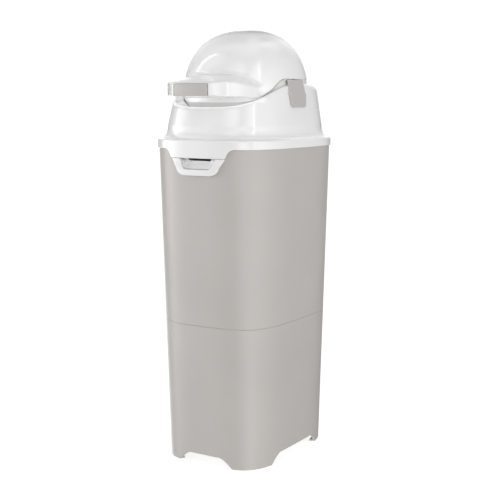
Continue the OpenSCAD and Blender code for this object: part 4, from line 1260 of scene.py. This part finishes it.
class NAPPYBIN_OT_stage(bpy.types.Operator):
    """Make the pale floor and backdrop, the soft lights and the camera"""

    bl_idname = "nappybin.stage"
    bl_label = "Floor, lights and camera"

    def execute(self, context):
        self.floor()
        self.sky()
        self.light("tall_left", (-1.95, -1.15, 1.5), (0.0, 0.0, 0.5), 0.95, 3.0, 6.0)
        self.light("slim_left", (-2.1, -0.82, 1.5), (0.0, 0.0, 0.5), 0.22, 3.0, 5.5)
        self.light("slim_right", (2.04, -0.82, 1.3), (0.0, 0.0, 0.5), 0.2, 2.6, 4.5)
        bpy.ops.object.camera_add(location=CAMERA_PLACE)
        camera = bpy.context.object
        camera.name = "bin_camera"
        aim = Vector(CAMERA_AIM) - Vector(CAMERA_PLACE)
        camera.rotation_mode = "QUATERNION"
        camera.rotation_quaternion = aim.to_track_quat("-Z", "Y")
        camera.data.lens = CAMERA_LENS
        camera.data.sensor_width = 36.0
        camera.data.shift_x = CAMERA_SHIFT
        context.scene.camera = camera
        context.scene.view_settings.view_transform = "Standard"
        return {"FINISHED"}

    def floor(self):
        """A wide pale floor that runs into the backdrop and leaves the light from below alone."""
        clear_selection()
        bpy.ops.mesh.primitive_circle_add(vertices=96, radius=60.0, fill_type="NGON", location=(0, 0, 0))
        piece = bpy.context.object
        piece.name = piece.data.name = "floor"
        material = bpy.data.materials.new("pale_floor")
        material.use_nodes = True
        tree = material.node_tree
        surface = tree.nodes["Principled BSDF"]
        place = tree.nodes.new("ShaderNodeTexCoord").outputs["Object"]
        tone = blend(
            tree,
            to_range(tree, noise(tree, place, 3.0), 0, 1),
            shade(colours().floor, 0.99),
            colours().floor[:],
        )
        tree.links.new(tone, surface.inputs["Base Color"])
        surface.inputs["Roughness"].default_value = 0.9
        surface.inputs["Emission Color"].default_value = (1.0, 1.0, 1.0, 1.0)
        path = tree.nodes.new("ShaderNodeLightPath").outputs["Is Camera Ray"]
        tree.links.new(math_node(tree, "MULTIPLY", path, 0.78), surface.inputs["Emission Strength"])
        piece.data.materials.append(material)
        piece.visible_diffuse = piece.visible_glossy = piece.visible_shadow = False

    def sky(self):
        """A soft surround: wide lights low round the bin, weaker ones higher up, and one overhead."""
        world = bpy.data.worlds.new("soft_surround")
        world.use_nodes = True
        tree = world.node_tree
        surround = tree.nodes["Background"]
        surround.inputs["Color"].default_value = (1.0, 1.0, 1.0, 1.0)
        split = tree.nodes.new("ShaderNodeSeparateXYZ")
        tree.links.new(tree.nodes.new("ShaderNodeTexCoord").outputs["Generated"], split.inputs["Vector"])
        x, y, z = split.outputs
        turn = math_node(tree, "ARCTAN2", x, math_node(tree, "MULTIPLY", y, -1.0))
        lift = math_node(tree, "ARCSINE", z)
        above = self.glow(tree, lift, math.pi / 2, OVERHEAD)
        total = math_node(tree, "ADD", above, self.glow(tree, lift, -math.pi / 2, BELOW))
        for turn_at, lift_at, strength in SURROUND:
            off = math_node(tree, "SUBTRACT", turn, math.radians(turn_at))
            off = math_node(tree, "WRAP", off, math.pi, -math.pi)
            side = self.glow(tree, off, 0.0, 1.0)
            part = math_node(tree, "MULTIPLY", side, self.glow(tree, lift, math.radians(lift_at), strength))
            total = math_node(tree, "ADD", total, part)
        tree.links.new(total, surround.inputs["Strength"])
        seen = tree.nodes.new("ShaderNodeBackground")
        seen.inputs["Color"].default_value = (1.0, 1.0, 1.0, 1.0)
        seen.inputs["Strength"].default_value = 1.02
        choose = tree.nodes.new("ShaderNodeMixShader")
        tree.links.new(tree.nodes.new("ShaderNodeLightPath").outputs["Is Camera Ray"], choose.inputs["Fac"])
        tree.links.new(surround.outputs["Background"], choose.inputs[1])
        tree.links.new(seen.outputs["Background"], choose.inputs[2])
        tree.links.new(choose.outputs["Shader"], tree.nodes["World Output"].inputs["Surface"])
        bpy.context.scene.world = world

    def glow(self, tree, angle, middle, strength):
        """Strength at the middle angle, falling to nothing 30 degrees to either side."""
        off = math_node(tree, "ABSOLUTE", math_node(tree, "SUBTRACT", angle, middle))
        return to_range(tree, off, strength, 0.0, 0.0, math.radians(30))

    def light(self, name, place, aim, width, height, power):
        clear_selection()
        bpy.ops.object.light_add(type="AREA", location=place)
        lamp = bpy.context.object
        lamp.name = name
        lamp.data.shape = "RECTANGLE"
        lamp.data.size, lamp.data.size_y = width, height
        lamp.data.energy = power
        lamp.rotation_mode = "QUATERNION"
        lamp.rotation_quaternion = (Vector(aim) - Vector(place)).to_track_quat("-Z", "Y")


# ---- Panel and registration ----


class NAPPYBIN_PT_panel(bpy.types.Panel):
    """The bin's sizes, colours and operators"""

    bl_idname = "NAPPYBIN_PT_panel"
    bl_label = "Nappy bin"
    bl_space_type = "VIEW_3D"
    bl_region_type = "UI"
    bl_category = "Nappy Bin"

    def draw(self, context):
        for operator in OPERATORS:
            self.layout.operator(operator.bl_idname)
        for group in (context.scene.bin_sizes, context.scene.bin_colours):
            box = self.layout.box()
            for name in group.__annotations__:
                box.prop(group, name)


OPERATORS = (
    NAPPYBIN_OT_base_section,
    NAPPYBIN_OT_body_shell,
    NAPPYBIN_OT_top_cover,
    NAPPYBIN_OT_pivot_straps,
    NAPPYBIN_OT_drum_dome,
    NAPPYBIN_OT_handle_plate,
    NAPPYBIN_OT_latch,
    NAPPYBIN_OT_node_finishes,
    NAPPYBIN_OT_stage,
)
CLASSES = (BinSizes, BinColours, *OPERATORS, NAPPYBIN_PT_panel)


def register():
    for cls in CLASSES:
        bpy.utils.register_class(cls)
    bpy.types.Scene.bin_sizes = PointerProperty(type=BinSizes)
    bpy.types.Scene.bin_colours = PointerProperty(type=BinColours)


def unregister():
    del bpy.types.Scene.bin_colours
    del bpy.types.Scene.bin_sizes
    for cls in reversed(CLASSES):
        bpy.utils.unregister_class(cls)


def main():
    register()
    bpy.ops.nappybin.base_section()
    bpy.ops.nappybin.body_shell()
    bpy.ops.nappybin.top_cover()
    bpy.ops.nappybin.pivot_straps()
    bpy.ops.nappybin.drum_dome()
    bpy.ops.nappybin.handle_plate()
    bpy.ops.nappybin.latch()
    bpy.ops.nappybin.node_finishes()
    bpy.ops.nappybin.stage()


if __name__ == "__main__":
    main()
